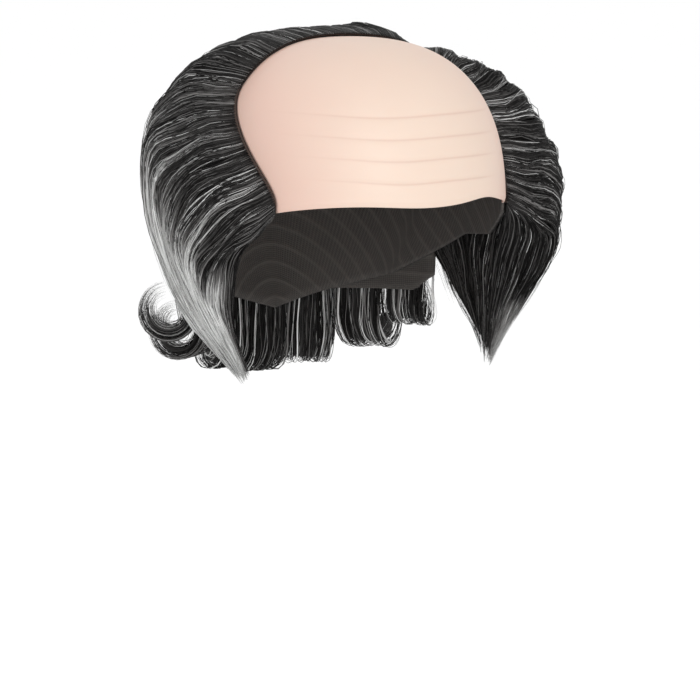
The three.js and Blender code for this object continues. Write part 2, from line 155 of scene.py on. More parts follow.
# Tones run from 0 for near-black to 1 for white
GREY_STOP = 0.45  # the tone of the plain grey
DARK_TONES, GREY_TONES, WHITE_TONES = (-0.10, 0.06), (0.24, 0.5), (0.6, 0.95)
DARK_TIPS, PALE_TIPS = (0.1, 0.35), (0.62, 0.98)  # tips that stay dark, and tips that turn pale
STAYS_DARK = 0.14  # share of strands that stay dark
LOCK_TINT = 0.05  # how much paler a whole lock is at most
LOCK_LATE, STRAND_LATE = 0.04, 0.05  # spread of where locks and single strands turn pale
PALE_HEIGHTS = (0.2, 0.75)  # how high in the hair strands start to turn pale, and how high all do
FIBRE_STREAKS = {"pitch": 1300.0, "streak": 0.30, "relief": 0.5}
DENSE_STREAKS = {"pitch": 3600.0, "streak": 0.62, "relief": 0.9}
STREAK_CHANGES = 16.0  # changes of a streak to the metre along it
STREAK_DEPTH = 0.12  # share of the pitch that streaks change by in the noise's third direction

# The curls under the back hair
CURL_COUNT = 7
CURL_FROM = 117.0  # degrees from the forehead to the first curl's edge
CURL_ARM = 0.095  # from the head's upright axis to the curls
STRIP_TOP, STRIP_BOTTOM = -0.034, -0.052
STRIP_UNDER, STRIP_OVER = 0.0027, 0.0054
STRIP_LAP, STRIP_PAST = 0.007, 4.0  # it laps over the cap's rim, and goes on past the first curl
STRIP_TAPER, STRIP_TAPER_SPAN = 0.009, 8.0  # its lower edge rises by this over its last degrees
STRIP_COLUMNS, STRIP_ROWS = 48, 8
SIDE_DROP, NAPE_DROP = -0.050, -0.084  # where a curl turns outwards, at the strip's ends and middle
CURL_LEAN, CURL_LEAN_STEP = 7.0, 2.2  # degrees that tips lean aside, by a sine with these radians a curl
CURL_NARROWS_AS = 1.3  # power of its turn by which a curl narrows
CURL_NEST_AS = 0.6  # power below 1, which sets more strands on a curl's outside
CURL_TURNS = (0.78, 1.06)  # turn of a strand to its curl's
CURL_STRAY_RUN = 0.03  # metres over which strands start to stray
CURL_TIP_PALER, CURL_TIP_FADE = (0.1, 0.7), (0.85, 1.0)  # how much paler tips are, and where
CURL_INNER, CURL_INNER_FADE = (0.2, 0.9), (0.1, 0.5)  # the strands inside a curl, and where they turn pale
CURL_BLUNT = 1.02  # more than 1, so that the tip of the dense middle stays blunt
CURL_DENSE_PALER, CURL_DENSE_FADE = 0.3, (0.4, 1.0)  # how much paler that tip is, and where

# The soft light above the camera, in metres and watts
KEY_PLACE, KEY_SIDE, KEY_POWER = (-1.25, -2.2, 0.9), 1.3, 25.0

UP = np.array([0.0, 0.0, 1.0])
LEVEL = np.array([1.0, 1.0, 0.0])


@dataclass(frozen=True)
class Section:
    """One mass of hair."""

    node: str
    guides: tuple
    first: float  # the rolls that it leaves the seam between
    last: float
    under_tip: float  # how far its inside stands off the head at the tips
    front_share: float  # share of its strands along the temple's edge
    reach: tuple  # shortest and longest lock
    swell: tuple  # least and most swelling of a lock
    fuller: float  # extra stand of its belly
    rise: float  # run over which it stands up from the seam
    wave: float  # how far its locks wave from side to side
    wave_length: float  # from crest to crest of a wave
    drift: float  # degrees of roll that its middle sinks towards the temple
    pale_from: tuple  # share of a lock where it turns pale, at even steps from the first roll to the last
    pale_most: float  # how pale it turns
    own_seed: int  # added to the seed for the tones of its locks


SECTIONS = (
    Section(
        node="hair_right_side", guides=SIDE_GUIDES, first=3.0, last=49.8, under_tip=0.004,
        front_share=0.18, reach=(0.93, 1.0), swell=(0.96, 1.05), fuller=0.0, rise=0.0070, wave=0.0018,
        wave_length=0.044, drift=-7.0,
        pale_from=(0.36, 0.17, 0.08, 0.08, 0.20), pale_most=1.0, own_seed=15,
    ),
    Section(
        node="hair_left_side", guides=SIDE_GUIDES, first=130.2, last=177.0, under_tip=0.004,
        front_share=0.18, reach=(0.93, 1.0), swell=(0.97, 1.05), fuller=0.010, rise=0.0042, wave=0.0026,
        wave_length=0.038, drift=4.0,
        pale_from=(0.15, 0.22, 0.36, 0.54, 0.60), pale_most=0.9, own_seed=14,
    ),
    Section(
        node="hair_back", guides=BACK_GUIDES, first=48.2, last=131.8, under_tip=0.011,
        front_share=0.0, reach=(0.96, 1.08), swell=(0.97, 1.07), fuller=0.0, rise=0.0075, wave=0.0019,
        wave_length=0.048, drift=0.0,
        pale_from=(0.22, 0.58, 0.75, 0.58, 0.28), pale_most=0.7, own_seed=9,
    ),
)


@dataclass(frozen=True)
class Layer:
    """One layer of hair over the dense hair."""

    suffix: str
    sides: int  # points round a strand
    flat: float  # thickness as a share of the width
    width: float
    tilt: float  # spread in radians of how its strands turn about themselves
    points: int  # points along a strand
    side_count: int  # strands in the hair of one side, in the back hair and in the curls
    back_count: int
    curl_count: int
    dark_share: float  # shares of near-black and of grey strands in combed hair; the rest are white
    grey_share: float
    own_seed: int  # added to the seed for its strands


LAYERS = (
    Layer(
        suffix="_wisps", sides=3, flat=0.35, width=0.0013, tilt=0.4, points=20, side_count=570,
        back_count=560, curl_count=280, dark_share=0.90, grey_share=0.10, own_seed=20,
    ),
    Layer(
        suffix="_strands", sides=3, flat=1.0, width=0.00034, tilt=0.0, points=22, side_count=1360,
        back_count=1180, curl_count=820, dark_share=0.72, grey_share=0.23, own_seed=22,
    ),
)


# Numbers

def smooth(x, low, high):
    """0 below low, 1 above high, and an S-shaped cubic between them."""
    s = np.clip((x - low) / (high - low), 0.0, 1.0)
    return s * s * (3.0 - 2.0 * s)


def bell(x, middle, spread):
    """1 at the middle, falling off as exp(-s * s) with the distance s in spreads."""
    return np.exp(-(((x - middle) / spread) ** 2))


def unit(v):
    """Vectors divided by their lengths."""
    return v / np.maximum(np.linalg.norm(v, axis=-1, keepdims=True), 1e-12)


def mirrored(roll):
    """A roll on either side as its like on the right side."""
    return np.minimum(roll, 180.0 - roll)


def side_of(roll):
    """-1 on the wearer's right side and 1 on the left."""
    return np.where(roll > 90.0, 1.0, -1.0)


def eased(x, places, values):
    """A curve through values at places, with an S-shaped step from each to the next."""
    steps = [
        (b - a) * smooth(x, low, high)
        for a, b, low, high in zip(values, values[1:], places, places[1:])
    ]
    return values[0] + sum(steps)


# The head form

def fall_of(x, y):
    """Depth of the head form below the brow plane: the side's, turning to the nape's with the
    square of the share that the direction points backwards."""
    to_back = np.maximum(y, 0.0) / np.maximum(np.hypot(x, y), 1e-9)
    return SIDE_FALL + (NAPE_FALL - SIDE_FALL) * to_back**2


def head_scale(p):
    """1 on the head form: the elliptic radius and the height, each as a share of its half size,
    added as powers of FULLNESS."""
    x, y, z = np.moveaxis(p, -1, 0)
    flat = np.hypot(x / HALF_WIDTH, y / HALF_LENGTH)
    upright = np.where(z >= 0.0, np.abs(z) / CROWN, np.abs(z) / fall_of(x, y))
    return (flat**FULLNESS + upright**FULLNESS) ** (1.0 / FULLNESS)


def head_normal(p):
    """Outward normal of the head form, from the slope of head_scale along each axis."""
    slopes = [head_scale(p + step) - head_scale(p - step) for step in PROBE * np.eye(3)]
    return unit(np.stack(slopes, axis=-1))


def on_head(direction, lift=0.0):
    """Points of the head form in the given directions, moved out along its normal by lift."""
    p = direction / head_scale(direction)[..., None]
    return p + np.asarray(lift)[..., None] * head_normal(p)


def head_at(around, height):
    """The point of the head form at an angle from the forehead and a height above the brow plane."""
    around, height = np.broadcast_arrays(np.radians(around), height)
    x, y = HALF_WIDTH * np.sin(around), -HALF_LENGTH * np.cos(around)
    reach = np.where(height >= 0.0, CROWN, fall_of(x, y))
    shrink = (1.0 - (np.abs(height) / reach) ** FULLNESS) ** (1.0 / FULLNESS)
    return np.stack([x * shrink, y * shrink, height], axis=-1)


def seam_direction(roll, behind=0.0):
    """Direction of the seam at a roll. Its angle behind the ears rises from the hem corner to the
    side and a little more to the crown; behind moves it back by a distance."""
    m = mirrored(roll)
    back = CORNER_BACK + (SIDE_BACK - CORNER_BACK) * smooth(m, TURN_FROM, TURN_TO)
    back = back + (CROWN_BACK - SIDE_BACK) * smooth(m, TURN_TO, 90.0)
    tilt = np.radians(back) + behind / HALF_LENGTH
    turn = np.radians(roll)
    return np.stack([-np.cos(turn) * np.cos(tilt), np.sin(tilt), np.sin(turn) * np.cos(tilt)], axis=-1)


# Meshes

def grid_faces(rows, columns):
    """Four-sided faces of a grid of points that is numbered row by row."""
    index = np.arange(rows * columns).reshape(rows, columns)
    corners = [index[:-1, :-1], index[:-1, 1:], index[1:, 1:], index[1:, :-1]]
    return np.stack([c.ravel() for c in corners], axis=-1)


def shell(outer, inner):
    """A closed wall between two grids of one size: both faces, joined by a strip round the border."""
    rows, columns = outer.shape[:2]
    index = np.arange(rows * columns).reshape(rows, columns)
    face = grid_faces(rows, columns)
    border = np.concatenate([index[0, :-1], index[:-1, -1], index[-1, :0:-1], index[:0:-1, 0]])
    ahead = np.roll(border, -1)
    inside = rows * columns
    strip = np.stack([ahead, border, border + inside, ahead + inside], axis=-1)
    points = np.concatenate([outer.reshape(-1, 3), inner.reshape(-1, 3)])
    return points, np.concatenate([face, face[:, ::-1] + inside, strip])


def both_faces(**fields):
    """Values of a grid for a wall's outer and inner face."""
    return {key: np.tile(array, (2, 1)) for key, array in fields.items()}


def grid_area(grid):
    """Area of a grid of points: half the length of the product of each face's diagonals, added up."""
    first, second = grid[1:, 1:] - grid[:-1, :-1], grid[1:, :-1] - grid[:-1, 1:]
    return 0.5 * np.linalg.norm(np.cross(first, second), axis=-1).sum()


def ring_faces(count, steps, sides):
    """Faces of closed tubes whose rings of points are numbered in order: walls, and a cap on each end."""
    index = np.arange(count * steps * sides).reshape(count, steps, sides)
    ahead = np.roll(index, -1, axis=2)
    corners = [index[:, :-1], ahead[:, :-1], ahead[:, 1:], index[:, 1:]]
    walls = np.stack([c.ravel() for c in corners], axis=-1)
    return [walls, np.concatenate([index[:, 0, ::-1], index[:, -1]])]


def tubes(paths, outwards, radii, sides, flat=1.0):
    """Closed tubes along many paths at once: a ring of points round each path point, square to the
    path, flat times as thick as wide, with the first and last ring capped. Also gives how far
    aside of its path each point lies."""
    count, steps = paths.shape[:2]
    along = unit(np.gradient(paths, axis=1))
    across = unit(np.cross(along, outwards))
    out = np.cross(across, along)
    turn = 2.0 * np.pi * np.arange(sides) / sides
    ring = np.cos(turn)[:, None] * across[:, :, None] + flat * np.sin(turn)[:, None] * out[:, :, None]
    points = paths[:, :, None] + radii[:, :, None, None] * ring
    return points.reshape(-1, 3), ring_faces(count, steps, sides), radii[:, :, None] * np.cos(turn)


def signed_volume(points, faces):
    """Six times the volume inside closed faces, negative if they face inwards."""
    corners = points[faces]
    pieces = [
        np.einsum("ij,ij->i", corners[:, 0], np.cross(corners[:, k], corners[:, k + 1]))
        for k in range(1, faces.shape[1] - 1)
    ]
    return sum(piece.sum() for piece in pieces)


def add_piece(name, points, groups, values=None):
    """A smooth mesh object at the origin from points and groups of faces with 3, 4 or more corners,
    turned to face outwards, with named values on its points."""
    if sum(signed_volume(points, faces) for faces in groups) < 0.0:
        groups = [faces[:, ::-1] for faces in groups]
    mesh = bpy.data.meshes.new(name)
    sizes = np.concatenate([np.full(len(faces), faces.shape[1]) for faces in groups])
    loops = np.concatenate([faces.ravel() for faces in groups])
    mesh.vertices.add(len(points))
    mesh.vertices.foreach_set("co", points.astype(np.float32).ravel())
    mesh.loops.add(len(loops))
    mesh.loops.foreach_set("vertex_index", loops.astype(np.int32))
    mesh.polygons.add(len(sizes))
    mesh.polygons.foreach_set("loop_start", (np.cumsum(sizes) - sizes).astype(np.int32))
    mesh.polygons.foreach_set("use_smooth", np.ones(len(sizes), bool))
    for key, array in (values or {}).items():
        layer = mesh.attributes.new(key, "FLOAT", "POINT")
        layer.data.foreach_set("value", array.astype(np.float32).ravel())
    mesh.update(calc_edges=True)
    mesh.validate()
    piece = bpy.data.objects.new(name, mesh)
    bpy.context.scene.collection.objects.link(piece)
    return piece


def dress(piece, material, node):
    """Gives a piece its material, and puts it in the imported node's place."""
    piece.data.materials.append(material)
    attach(piece, "root")
    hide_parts(node)


# Shader nodes

class Socket:
    """An output that holds a number. Plus, minus, times, divide and power on it add Math nodes."""

    def __init__(self, graph, output):
        self.graph = graph
        self.output = output

    def join(self, operation, first, second):
        """A Math node of two values."""
        made = self.graph.node("Math", {"operation": operation}, **{"0": first, "1": second})
        return Socket(self.graph, made.outputs["Value"])

    def __add__(self, other):
        return self.join("ADD", self, other)

    def __radd__(self, other):
        return self.join("ADD", other, self)

    def __sub__(self, other):
        return self.join("SUBTRACT", self, other)

    def __rsub__(self, other):
        return self.join("SUBTRACT", other, self)

    def __mul__(self, other):
        return self.join("MULTIPLY", self, other)

    def __rmul__(self, other):
        return self.join("MULTIPLY", other, self)

    def __truediv__(self, other):
        return self.join("DIVIDE", self, other)

    def __rtruediv__(self, other):
        return self.join("DIVIDE", other, self)

    def __pow__(self, other):
        return self.join("POWER", self, other)


class Graph:
    """The nodes of one material, around its Principled BSDF."""

    def __init__(self, name):
        self.material = bpy.data.materials.new(name)
        self.material.use_nodes = True
        self.tree = self.material.node_tree
        self.shader = next(n for n in self.tree.nodes if n.type == "BSDF_PRINCIPLED")

    def feed(self, entry, value):
        """Links an input to a socket, or sets it to a number, colour or vector."""
        if isinstance(value, Socket):
            value = value.output
        if isinstance(value, bpy.types.NodeSocket):
            self.tree.links.new(value, entry)
        else:
            entry.default_value = value

    def node(self, kind, settings=None, **entries):
        """A node of a kind. Settings come first, with stops for a ramp; entries are its inputs by
        name, or by number."""
        made = self.tree.nodes.new("ShaderNode" + kind)
        for key, value in (settings or {}).items():
            if key == "stops":
                self.set_stops(made.color_ramp, value)
            else:
                setattr(made, key, value)
        for key, value in entries.items():
            self.feed(made.inputs[int(key) if key.isdigit() else key.replace("_", " ")], value)
        return made

    def set_stops(self, ramp, stops):
        """A ramp's places and colours."""
        while len(ramp.elements) < len(stops):
            ramp.elements.new(1.0)
        for element, (place, colour) in zip(ramp.elements, stops):
            element.position = place
            element.color = (*colour, 1.0)

    def value(self, kind, output, settings=None, **entries):
        """One output of a new node as a number for expressions."""
        return Socket(self, self.node(kind, settings, **entries).outputs[output])

    def attribute(self, name):
        """A number that the mesh holds on its points."""
        return self.value("Attribute", "Fac", {"attribute_name": name})

    def noise(self, place, **entries):
        """Noise at a place, from 0 to 1."""
        return self.value("TexNoise", "Fac", None, Vector=place, **entries)

    def sine(self, angle):
        """The sine of a number."""
        return self.value("Math", "Value", {"operation": "SINE"}, **{"0": angle})

    def mix(self, share, first, second):
        """A colour between two, as an output."""
        made = self.node("Mix", {"data_type": "RGBA"}, **{"0": share, "6": first, "7": second})
        return made.outputs[2]

    def bump(self, height, strength, distance):
        """A normal from a height."""
        made = self.node("Bump", None, Strength=strength, Distance=distance, Height=height)
        return made.outputs["Normal"]

    def finish(self, **entries):
        """Sets the shader's inputs and gives the material."""
        for key, value in entries.items():
            self.feed(self.shader.inputs[key.replace("_", " ")], value)
        return self.material


def rgba(colour):
    """A colour with its alpha."""
    return (*colour, 1.0)


def rubber_finish(settings):
    """Satin latex: a blotchy skin colour with painted shade, darker and pinker towards the seam, thin
    dark crease lines of painted shade, and fine pores."""
    g = Graph("scalp_rubber")
    place = g.node("TexCoord").outputs["Object"]
    blotch = g.noise(place, Scale=38.0, Detail=4.0, Roughness=0.55)
    pores = g.noise(place, Scale=1400.0, Detail=2.0)
    folds = g.noise(place, Scale=160.0, Detail=3.0)
    level = g.attribute("level")
    # painted shade: a thin dark line along each crease
    crease_shade = sum(groove(level, height, settings.line_width) for height in CREASE_HEIGHTS)
    crease_shade = crease_shade * g.attribute("fade")
    skin = g.mix(blotch, rgba(settings.colour), rgba(settings.blotch_colour))
    # painted shade: the rubber turns darker and pinker towards the seam, where the dome turns from the
    # light
    skin = g.mix(g.attribute("edge"), skin, rgba(settings.edge_shade_colour))
    skin = g.mix(crease_shade * settings.crease_shade_strength, skin, rgba(settings.crease_shade_colour))
    return g.finish(
        Base_Color=skin,
        Roughness=0.46 + blotch * 0.12,
        Normal=g.bump(pores * 0.35 + folds, strength=0.10, distance=0.0006),
        Subsurface_Weight=0.10,
        Subsurface_Radius=(0.006, 0.003, 0.002),
        Subsurface_Scale=0.5,
    )


def net_finish(settings):
    """Dark stretch net: crossing threads, and a sewn row every few millimetres."""
    g = Graph("cap_net")
    across, along = g.attribute("across"), g.attribute("along")
    thread = 2.0 * math.pi / settings.mesh_size
    row = 2.0 * math.pi / settings.row_spacing
    one_way, other_way = g.sine((across + along) * thread), g.sine((across - along) * thread)
    net = one_way * other_way * 0.5 + 0.5
    sewn = (g.sine(along * row) * 0.5 + 0.5) ** ROW_SHARPNESS
    place = g.node("TexCoord").outputs["Object"]
    wear = g.noise(place, Scale=90.0, Detail=3.0)
    colour = g.mix(net * 0.6 + wear * 0.4, rgba(settings.colour), rgba(settings.thread_colour))
    return g.finish(
        Base_Color=g.mix(sewn * 0.5, colour, rgba(settings.thread_colour)),
        Roughness=0.75 + wear * 0.2,
        Normal=g.bump(net + sewn * 2.0, strength=0.5, distance=0.0005),
    )


def thread_finish(settings):
    """Dark brown twisted thread."""
    g = Graph("track_thread")
    place = g.node("TexCoord").outputs["Object"]
    twist = g.noise(place, Scale=900.0, Detail=3.0)
    return g.finish(
        Base_Color=g.mix(twist, rgba(settings.colour), rgba(settings.light_colour)),
        Roughness=0.6 + twist * 0.25,
        Normal=g.bump(twist, strength=0.4, distance=0.0004),
    )


def hair_finish(name, settings, pitch, streak, relief):
    """Synthetic fibre with the tone that its points hold: near-black, grey, then white. Streaks run
    along it, pitch of them to the metre across, and change its tone by up to half of streak
    either way and its height by relief."""
    g = Graph(name)
    across, along = g.attribute("across"), g.attribute("along")
    deep = across * (STREAK_DEPTH * pitch)
    fibres = g.node("CombineXYZ", None, X=across * pitch, Y=along * STREAK_CHANGES, Z=deep)
    fine = g.noise(fibres.outputs["Vector"], Scale=1.0, Detail=2.0)
    tone = g.attribute("tone") + (fine - 0.5) * streak
    stops = [
        (0.0, settings.dark_colour),
        (GREY_STOP, settings.grey_colour),
        (1.0, settings.white_colour),
    ]
    return g.finish(
        Base_Color=g.node("ValToRGB", {"stops": stops}, Fac=tone).outputs["Color"],
        Roughness=0.36 + fine * 0.16,
        Specular_IOR_Level=0.08,
        Normal=g.bump(fine, strength=relief, distance=0.0006),
    )


# Pieces

def groove(level, height, width):
    """A bell-shaped dip about a height, 1 at its bottom, for arrays and for shader values."""
    away = (level - height) / width
    return 1.0 / (away * away + 1.0) ** 2.0


def crease_levels(points, aside):
    """Heights as the creases see them, less their rise towards the ends and plus their sag, and
    how strong a crease is at each point."""
    sag = CREASE_SAG * bell(aside, CREASE_SAG_ASIDE, CREASE_SAG_SPREAD)
    level = points[..., 2] - CREASE_END_RISE * aside**2 + sag
    fade = smooth(aside, *CREASE_FADE[:2]) * (1.0 - smooth(aside, *CREASE_FADE[2:]))
    return level, np.broadcast_to(fade, level.shape)


def scalp_directions(columns, rows):
    """Directions over the scalp from its four edges: the hem below, the seam's sides left and right,
    and the seam's top above. Both pairs of opposite edges are blended straight and added, and the
    blend of the four corners is taken off once."""

    def edge(roll):
        return seam_direction(roll, -SEAM_GAP)

    u = np.linspace(0.0, 1.0, columns)
    v = np.interp(np.linspace(0.0, 1.0, rows), (0.0, CREASED_ROWS, 1.0), (0.0, CREASED_PART, 1.0))[:, None]
    right = edge(CORNER_ROLL + (PATCH_ROLL - CORNER_ROLL) * v[:, 0])
    left = right * np.array([-1.0, 1.0, 1.0])
    top = edge(PATCH_ROLL + (180.0 - 2.0 * PATCH_ROLL) * u)
    corner = edge(np.array([CORNER_ROLL]))[0]
    half = math.degrees(math.atan2(-corner[0] / HALF_WIDTH, -corner[1] / HALF_LENGTH))
    aside = 2.0 * u - 1.0
    corner_height = on_head(corner[None])[0, 2]
    height = HEM_HEIGHT + (corner_height - HEM_HEIGHT) * np.abs(aside) ** HEM_FALLS_AS
    height = height + HEM_LIFT * bell(aside, HEM_LIFT_ASIDE, HEM_LIFT_SPREAD)
    height = height - HEM_SAG * bell(aside, HEM_SAG_ASIDE, HEM_SAG_SPREAD)
    hem = unit(head_at(half * aside, height))
    hem[0], hem[-1] = right[0], left[0]
    u3, v3 = u[None, :, None], v[:, :, None]
    ruled_v = (1.0 - v3) * hem[None] + v3 * top[None]
    ruled_u = (1.0 - u3) * right[:, None] + u3 * left[:, None]
    corners = (
        (1.0 - v3) * ((1.0 - u3) * right[0] + u3 * left[0])
        + v3 * ((1.0 - u3) * right[-1] + u3 * left[-1])
    )
    return unit(ruled_v + ruled_u - corners), aside


def make_scalp(settings):
    """The rubber wall between the head form and its outside, thinner at the front hem, pressed in
    along the creases and in one shallow dent."""
    direction, aside = scalp_directions(settings.columns, settings.rows)
    base = on_head(direction)
    level, fade = crease_levels(base, aside[None])
    folds = sum(groove(level, height, settings.crease_width) for height in CREASE_HEIGHTS)
    dent = bell(np.linalg.norm(base - DENT_PLACE, axis=-1), 0.0, DENT_RADIUS)
    depth = settings.crease_depth * fade * folds + settings.dent_depth * dent
    up = np.linspace(0.0, 1.0, settings.rows)[:, None]
    wall = settings.wall * (HEM_WALL + (1.0 - HEM_WALL) * smooth(up, 0.0, HEM_THINS))
    points, faces = shell(on_head(direction, wall - depth), on_head(direction, -depth))
    # mask of the painted shade that darkens the rubber towards the seam
    edge = smooth(np.hypot(aside[None], EDGE_SHADE_SQUASH * up), *EDGE_SHADE_FADE)
    values = both_faces(level=level, fade=fade, edge=edge)
    return add_piece("rubber_scalp", points, [faces], values)


def make_cap(settings):
    """The cap's wall: great arcs from the seam to the rim, a little thicker along the rim."""
    u = np.linspace(CORNER_ROLL, 180.0 - CORNER_ROLL, settings.columns)
    v = np.linspace(0.0, 1.0, settings.rows)[:, None, None]
    share = (mirrored(u) - CORNER_ROLL) / (90.0 - CORNER_ROLL)
    start = seam_direction(u, SEAM_GAP)
    around = side_of(u) * eased(share, RIM_SHARE, RIM_AROUND)
    end = unit(head_at(around, eased(share, RIM_SHARE, RIM_HEIGHT)))
    span = np.arccos(np.clip((start * end).sum(-1), -1.0, 1.0))[None, :, None]
    direction = (np.sin((1.0 - v) * span) * start + np.sin(v * span) * end) / np.sin(span)
    lift = settings.wall + settings.binding * smooth(v[..., 0], BINDING_FROM, 1.0)
    outer, inner = on_head(direction, lift), on_head(direction)
    along = np.cumsum(np.linalg.norm(np.diff(inner, axis=0, prepend=inner[:1]), axis=-1), axis=0)
    across = np.broadcast_to(np.radians(u) * HALF_WIDTH, along.shape)
    points, faces = shell(outer, inner)
    values = both_faces(across=across, along=along)
    return add_piece("net_cap", points, [faces], values), grid_area(outer)


def make_track(settings):
    """The track: a flat oval section carried along the seam."""
    rolls = np.linspace(CORNER_ROLL, 180.0 - CORNER_ROLL, settings.steps)
    turn = np.linspace(0.0, 2.0 * np.pi, settings.sides, endpoint=False)
    behind = settings.half_width * np.cos(turn)
    middle = settings.under + 0.5 * settings.height
    lift = middle + 0.5 * settings.height * np.sin(turn)
    rings = on_head(seam_direction(rolls[:, None], behind[None]), lift)
    faces = ring_faces(1, settings.steps, settings.sides)
    return add_piece("stitched_track", rings.reshape(-1, 3), faces)


def make_stitches(settings):
    """Short slanted threads over the track, each an arch from its front edge to its back edge."""
    first = CORNER_ROLL + STITCH_INSET
    rolls = np.linspace(first, 180.0 - STITCH_INSET - CORNER_ROLL, settings.stitches)[:, None]
    t = np.linspace(-1.0, 1.0, STITCH_POINTS)[None]
    direction = seam_direction(rolls + settings.slant * t, STITCH_PAST * settings.half_width * t)
    arch = STITCH_FOOT + STITCH_ARCH * np.sqrt(1.0 - (STITCH_BEND * t) ** 2)
    paths = on_head(direction, settings.under + settings.height * arch)
    radii = np.full(paths.shape[:2], settings.thread)
    points, faces, _ = tubes(paths, head_normal(paths), radii, STITCH_SIDES)
    return add_piece("track_stitches", points, faces)


# Hair

def guide_values(section, roll, names):
    """Columns of a section's guides at rolls, blended straight from guide to guide."""
    table = dict(zip(GUIDE_COLUMNS, np.array(section.guides, float).T))
    return [np.interp(mirrored(roll), table["roll"], table[name]) for name in names]


def across_share(section, roll):
    """How far a roll lies from the section's first edge to its last, as a share."""
    return (roll - section.first) / (section.last - section.first)


def length_at(section, roll, length):
    """Length of the flow at a roll, from the lengths of its columns."""
    return np.interp(roll, np.linspace(section.first, section.last, FLOW_COLUMNS), length)


def knot_gap(p, q):
    """The root of the distance from p to q, as the step between their knots."""
    return np.sqrt(np.linalg.norm(q - p, axis=-1))[None, :, None]


def spline_span(a, b, c, d, steps):
    """Points from b to c on a smooth curve through a, b, c and d: straight blends of neighbours,
    then blends of those, with knots the root of each chord apart."""
    t1 = knot_gap(a, b)
    t2 = t1 + knot_gap(b, c)
    t3 = t2 + knot_gap(c, d)
    t = t1 + (t2 - t1) * np.linspace(0.0, 1.0, steps, endpoint=False)[:, None, None]

    def blend(p, q, low, high):
        return ((high - t) * p + (t - low) * q) / (high - low)

    ab, bc, cd = blend(a, b, 0.0, t1), blend(b, c, t1, t2), blend(c, d, t2, t3)
    return blend(blend(ab, bc, 0.0, t2), blend(bc, cd, t1, t3), t1, t2)


def flow_of(section):
    """The lay of a section as a grid: for each roll, points on the head form at even steps of
    length along a curve through the root, the shoulder, the bend and the tip. Also each length."""
    rolls = np.linspace(section.first, section.last, FLOW_COLUMNS)
    stops = [on_head(seam_direction(rolls, ROOT_BEHIND))]
    for name in ("shoulder", "bend", "tip"):
        around, height = guide_values(section, rolls, (name + "_around", name + "_height"))
        stops.append(head_at(side_of(rolls) * around, height))
    stops = [2.0 * stops[0] - stops[1], *stops, 2.0 * stops[-1] - stops[-2]]
    spans = [spline_span(*stops[k : k + 4], SPAN_STEPS) for k in range(3)]
    fine = on_head(np.concatenate([*spans, stops[4][None]]))
    steps = np.linalg.norm(np.diff(fine, axis=0), axis=-1)
    length = np.concatenate([np.zeros((1, FLOW_COLUMNS)), np.cumsum(steps, axis=0)])
    even = np.linspace(0.0, 1.0, FLOW_ROWS)
    resampled = [
        [np.interp(even * length[-1, i], length[:, i], fine[:, i, axis]) for axis in range(3)]
        for i in range(FLOW_COLUMNS)
    ]
    return np.moveaxis(np.array(resampled), 1, 2), length[-1]


def sample_flow(section, flow, roll, share):
    """Points of the flow at rolls and shares of length, blended from the four nearest. Past its end
    the flow goes straight on."""
    x = np.clip(across_share(section, roll), 0.0, 1.0) * (FLOW_COLUMNS - 1)
    y = np.maximum(share, 0.0) * (FLOW_ROWS - 1)
    i = np.minimum(x.astype(int), FLOW_COLUMNS - 2)
    j = np.minimum(y.astype(int), FLOW_ROWS - 2)
    s, t = (x - i)[..., None], (y - j)[..., None]
    low = (1.0 - t) * flow[i, j] + t * flow[i, j + 1]
    high = (1.0 - t) * flow[i + 1, j] + t * flow[i + 1, j + 1]
    points = (1.0 - s) * low + s * high
    return points / head_scale(points)[..., None]


def outer_lift(section, roll, share):
    """How far the outside of the hair stands off the head, eased from knot to knot. Fuller hair
    stands off further. Near the seam the hair has its own forms at the crown."""
    extra = section.fuller * (1.0 - smooth(mirrored(roll), *FULLER_FADE))
    plain = guide_values(section, roll, LIFT_COLUMNS)
    lifts = [lift + part * extra for lift, part in zip(plain, FULLER_SHARES)]
    form = sum(part * bell(roll, middle, spread) for middle, spread, part in CROWN_FORMS)
    return eased(share, LIFT_SHARES, lifts) * (1.0 + form * (1.0 - smooth(share, *CROWN_FORM_FADE)))


def under_lift(section, share):
    """How far the inside of the hair stands off the head."""
    return HAIR_UNDER + (section.under_tip - HAIR_UNDER) * smooth(share, 0.0, LIFT_SHARES[4])


def rise_run(section, roll):
    """The run over which hair stands up from the seam, longer towards the hem corners."""
    return section.rise * (1.0 + CORNER_SLOWER * (1.0 - smooth(mirrored(roll), CORNER_ROLL, CORNER_CALM)))


def lift_way(base, roll):
    """The way that hair stands off the head: along its normal, tipped downwards at the sides."""
    sinks = [share * (1.0 - smooth(mirrored(roll), *fade)) for share, fade in zip(DROOPS, DROOP_FADES)]
    sink = np.where(roll < 90.0, *sinks)
    return unit(head_normal(base) - sink[..., None] * UP)


def lock_blend(place, values):
    """A value for each lock, blended from the middle of one to the middle of the next."""
    return np.interp(place, np.arange(len(values)) + 0.5, values)


def lock_swell(section, roll, settings):
    """How far the hair swells: a share for each lock, blended from middle to middle, less a furrow
    between each two locks."""
    shares = np.random.default_rng(settings.seed).uniform(*section.swell, settings.locks)
    place = across_share(section, roll) * settings.locks
    furrow = settings.furrow * (1.0 - np.sqrt(np.abs(np.sin(np.pi * place))))
    return lock_blend(place, shares) * (1.0 - furrow)


def lock_reach(section, roll, settings):
    """How long the dense hair is: full in the middle of each lock, shorter between two locks."""
    place = across_share(section, roll) * settings.locks
    longest = np.random.default_rng(settings.seed + REACH_SEED).uniform(*DENSE_REACH, settings.locks)
    lock = np.clip(place, 0, settings.locks - 1).astype(int)
    return longest[lock] * (1.0 - settings.under_notch * np.abs(2.0 * (place - lock) - 1.0))


def lock_phase(settings):
    """Where in its wave each lock starts, a little on from its neighbour."""
    rng = np.random.default_rng(settings.seed + PHASE_SEED)
    return np.cumsum(rng.normal(0.0, PHASE_STEP, settings.locks))


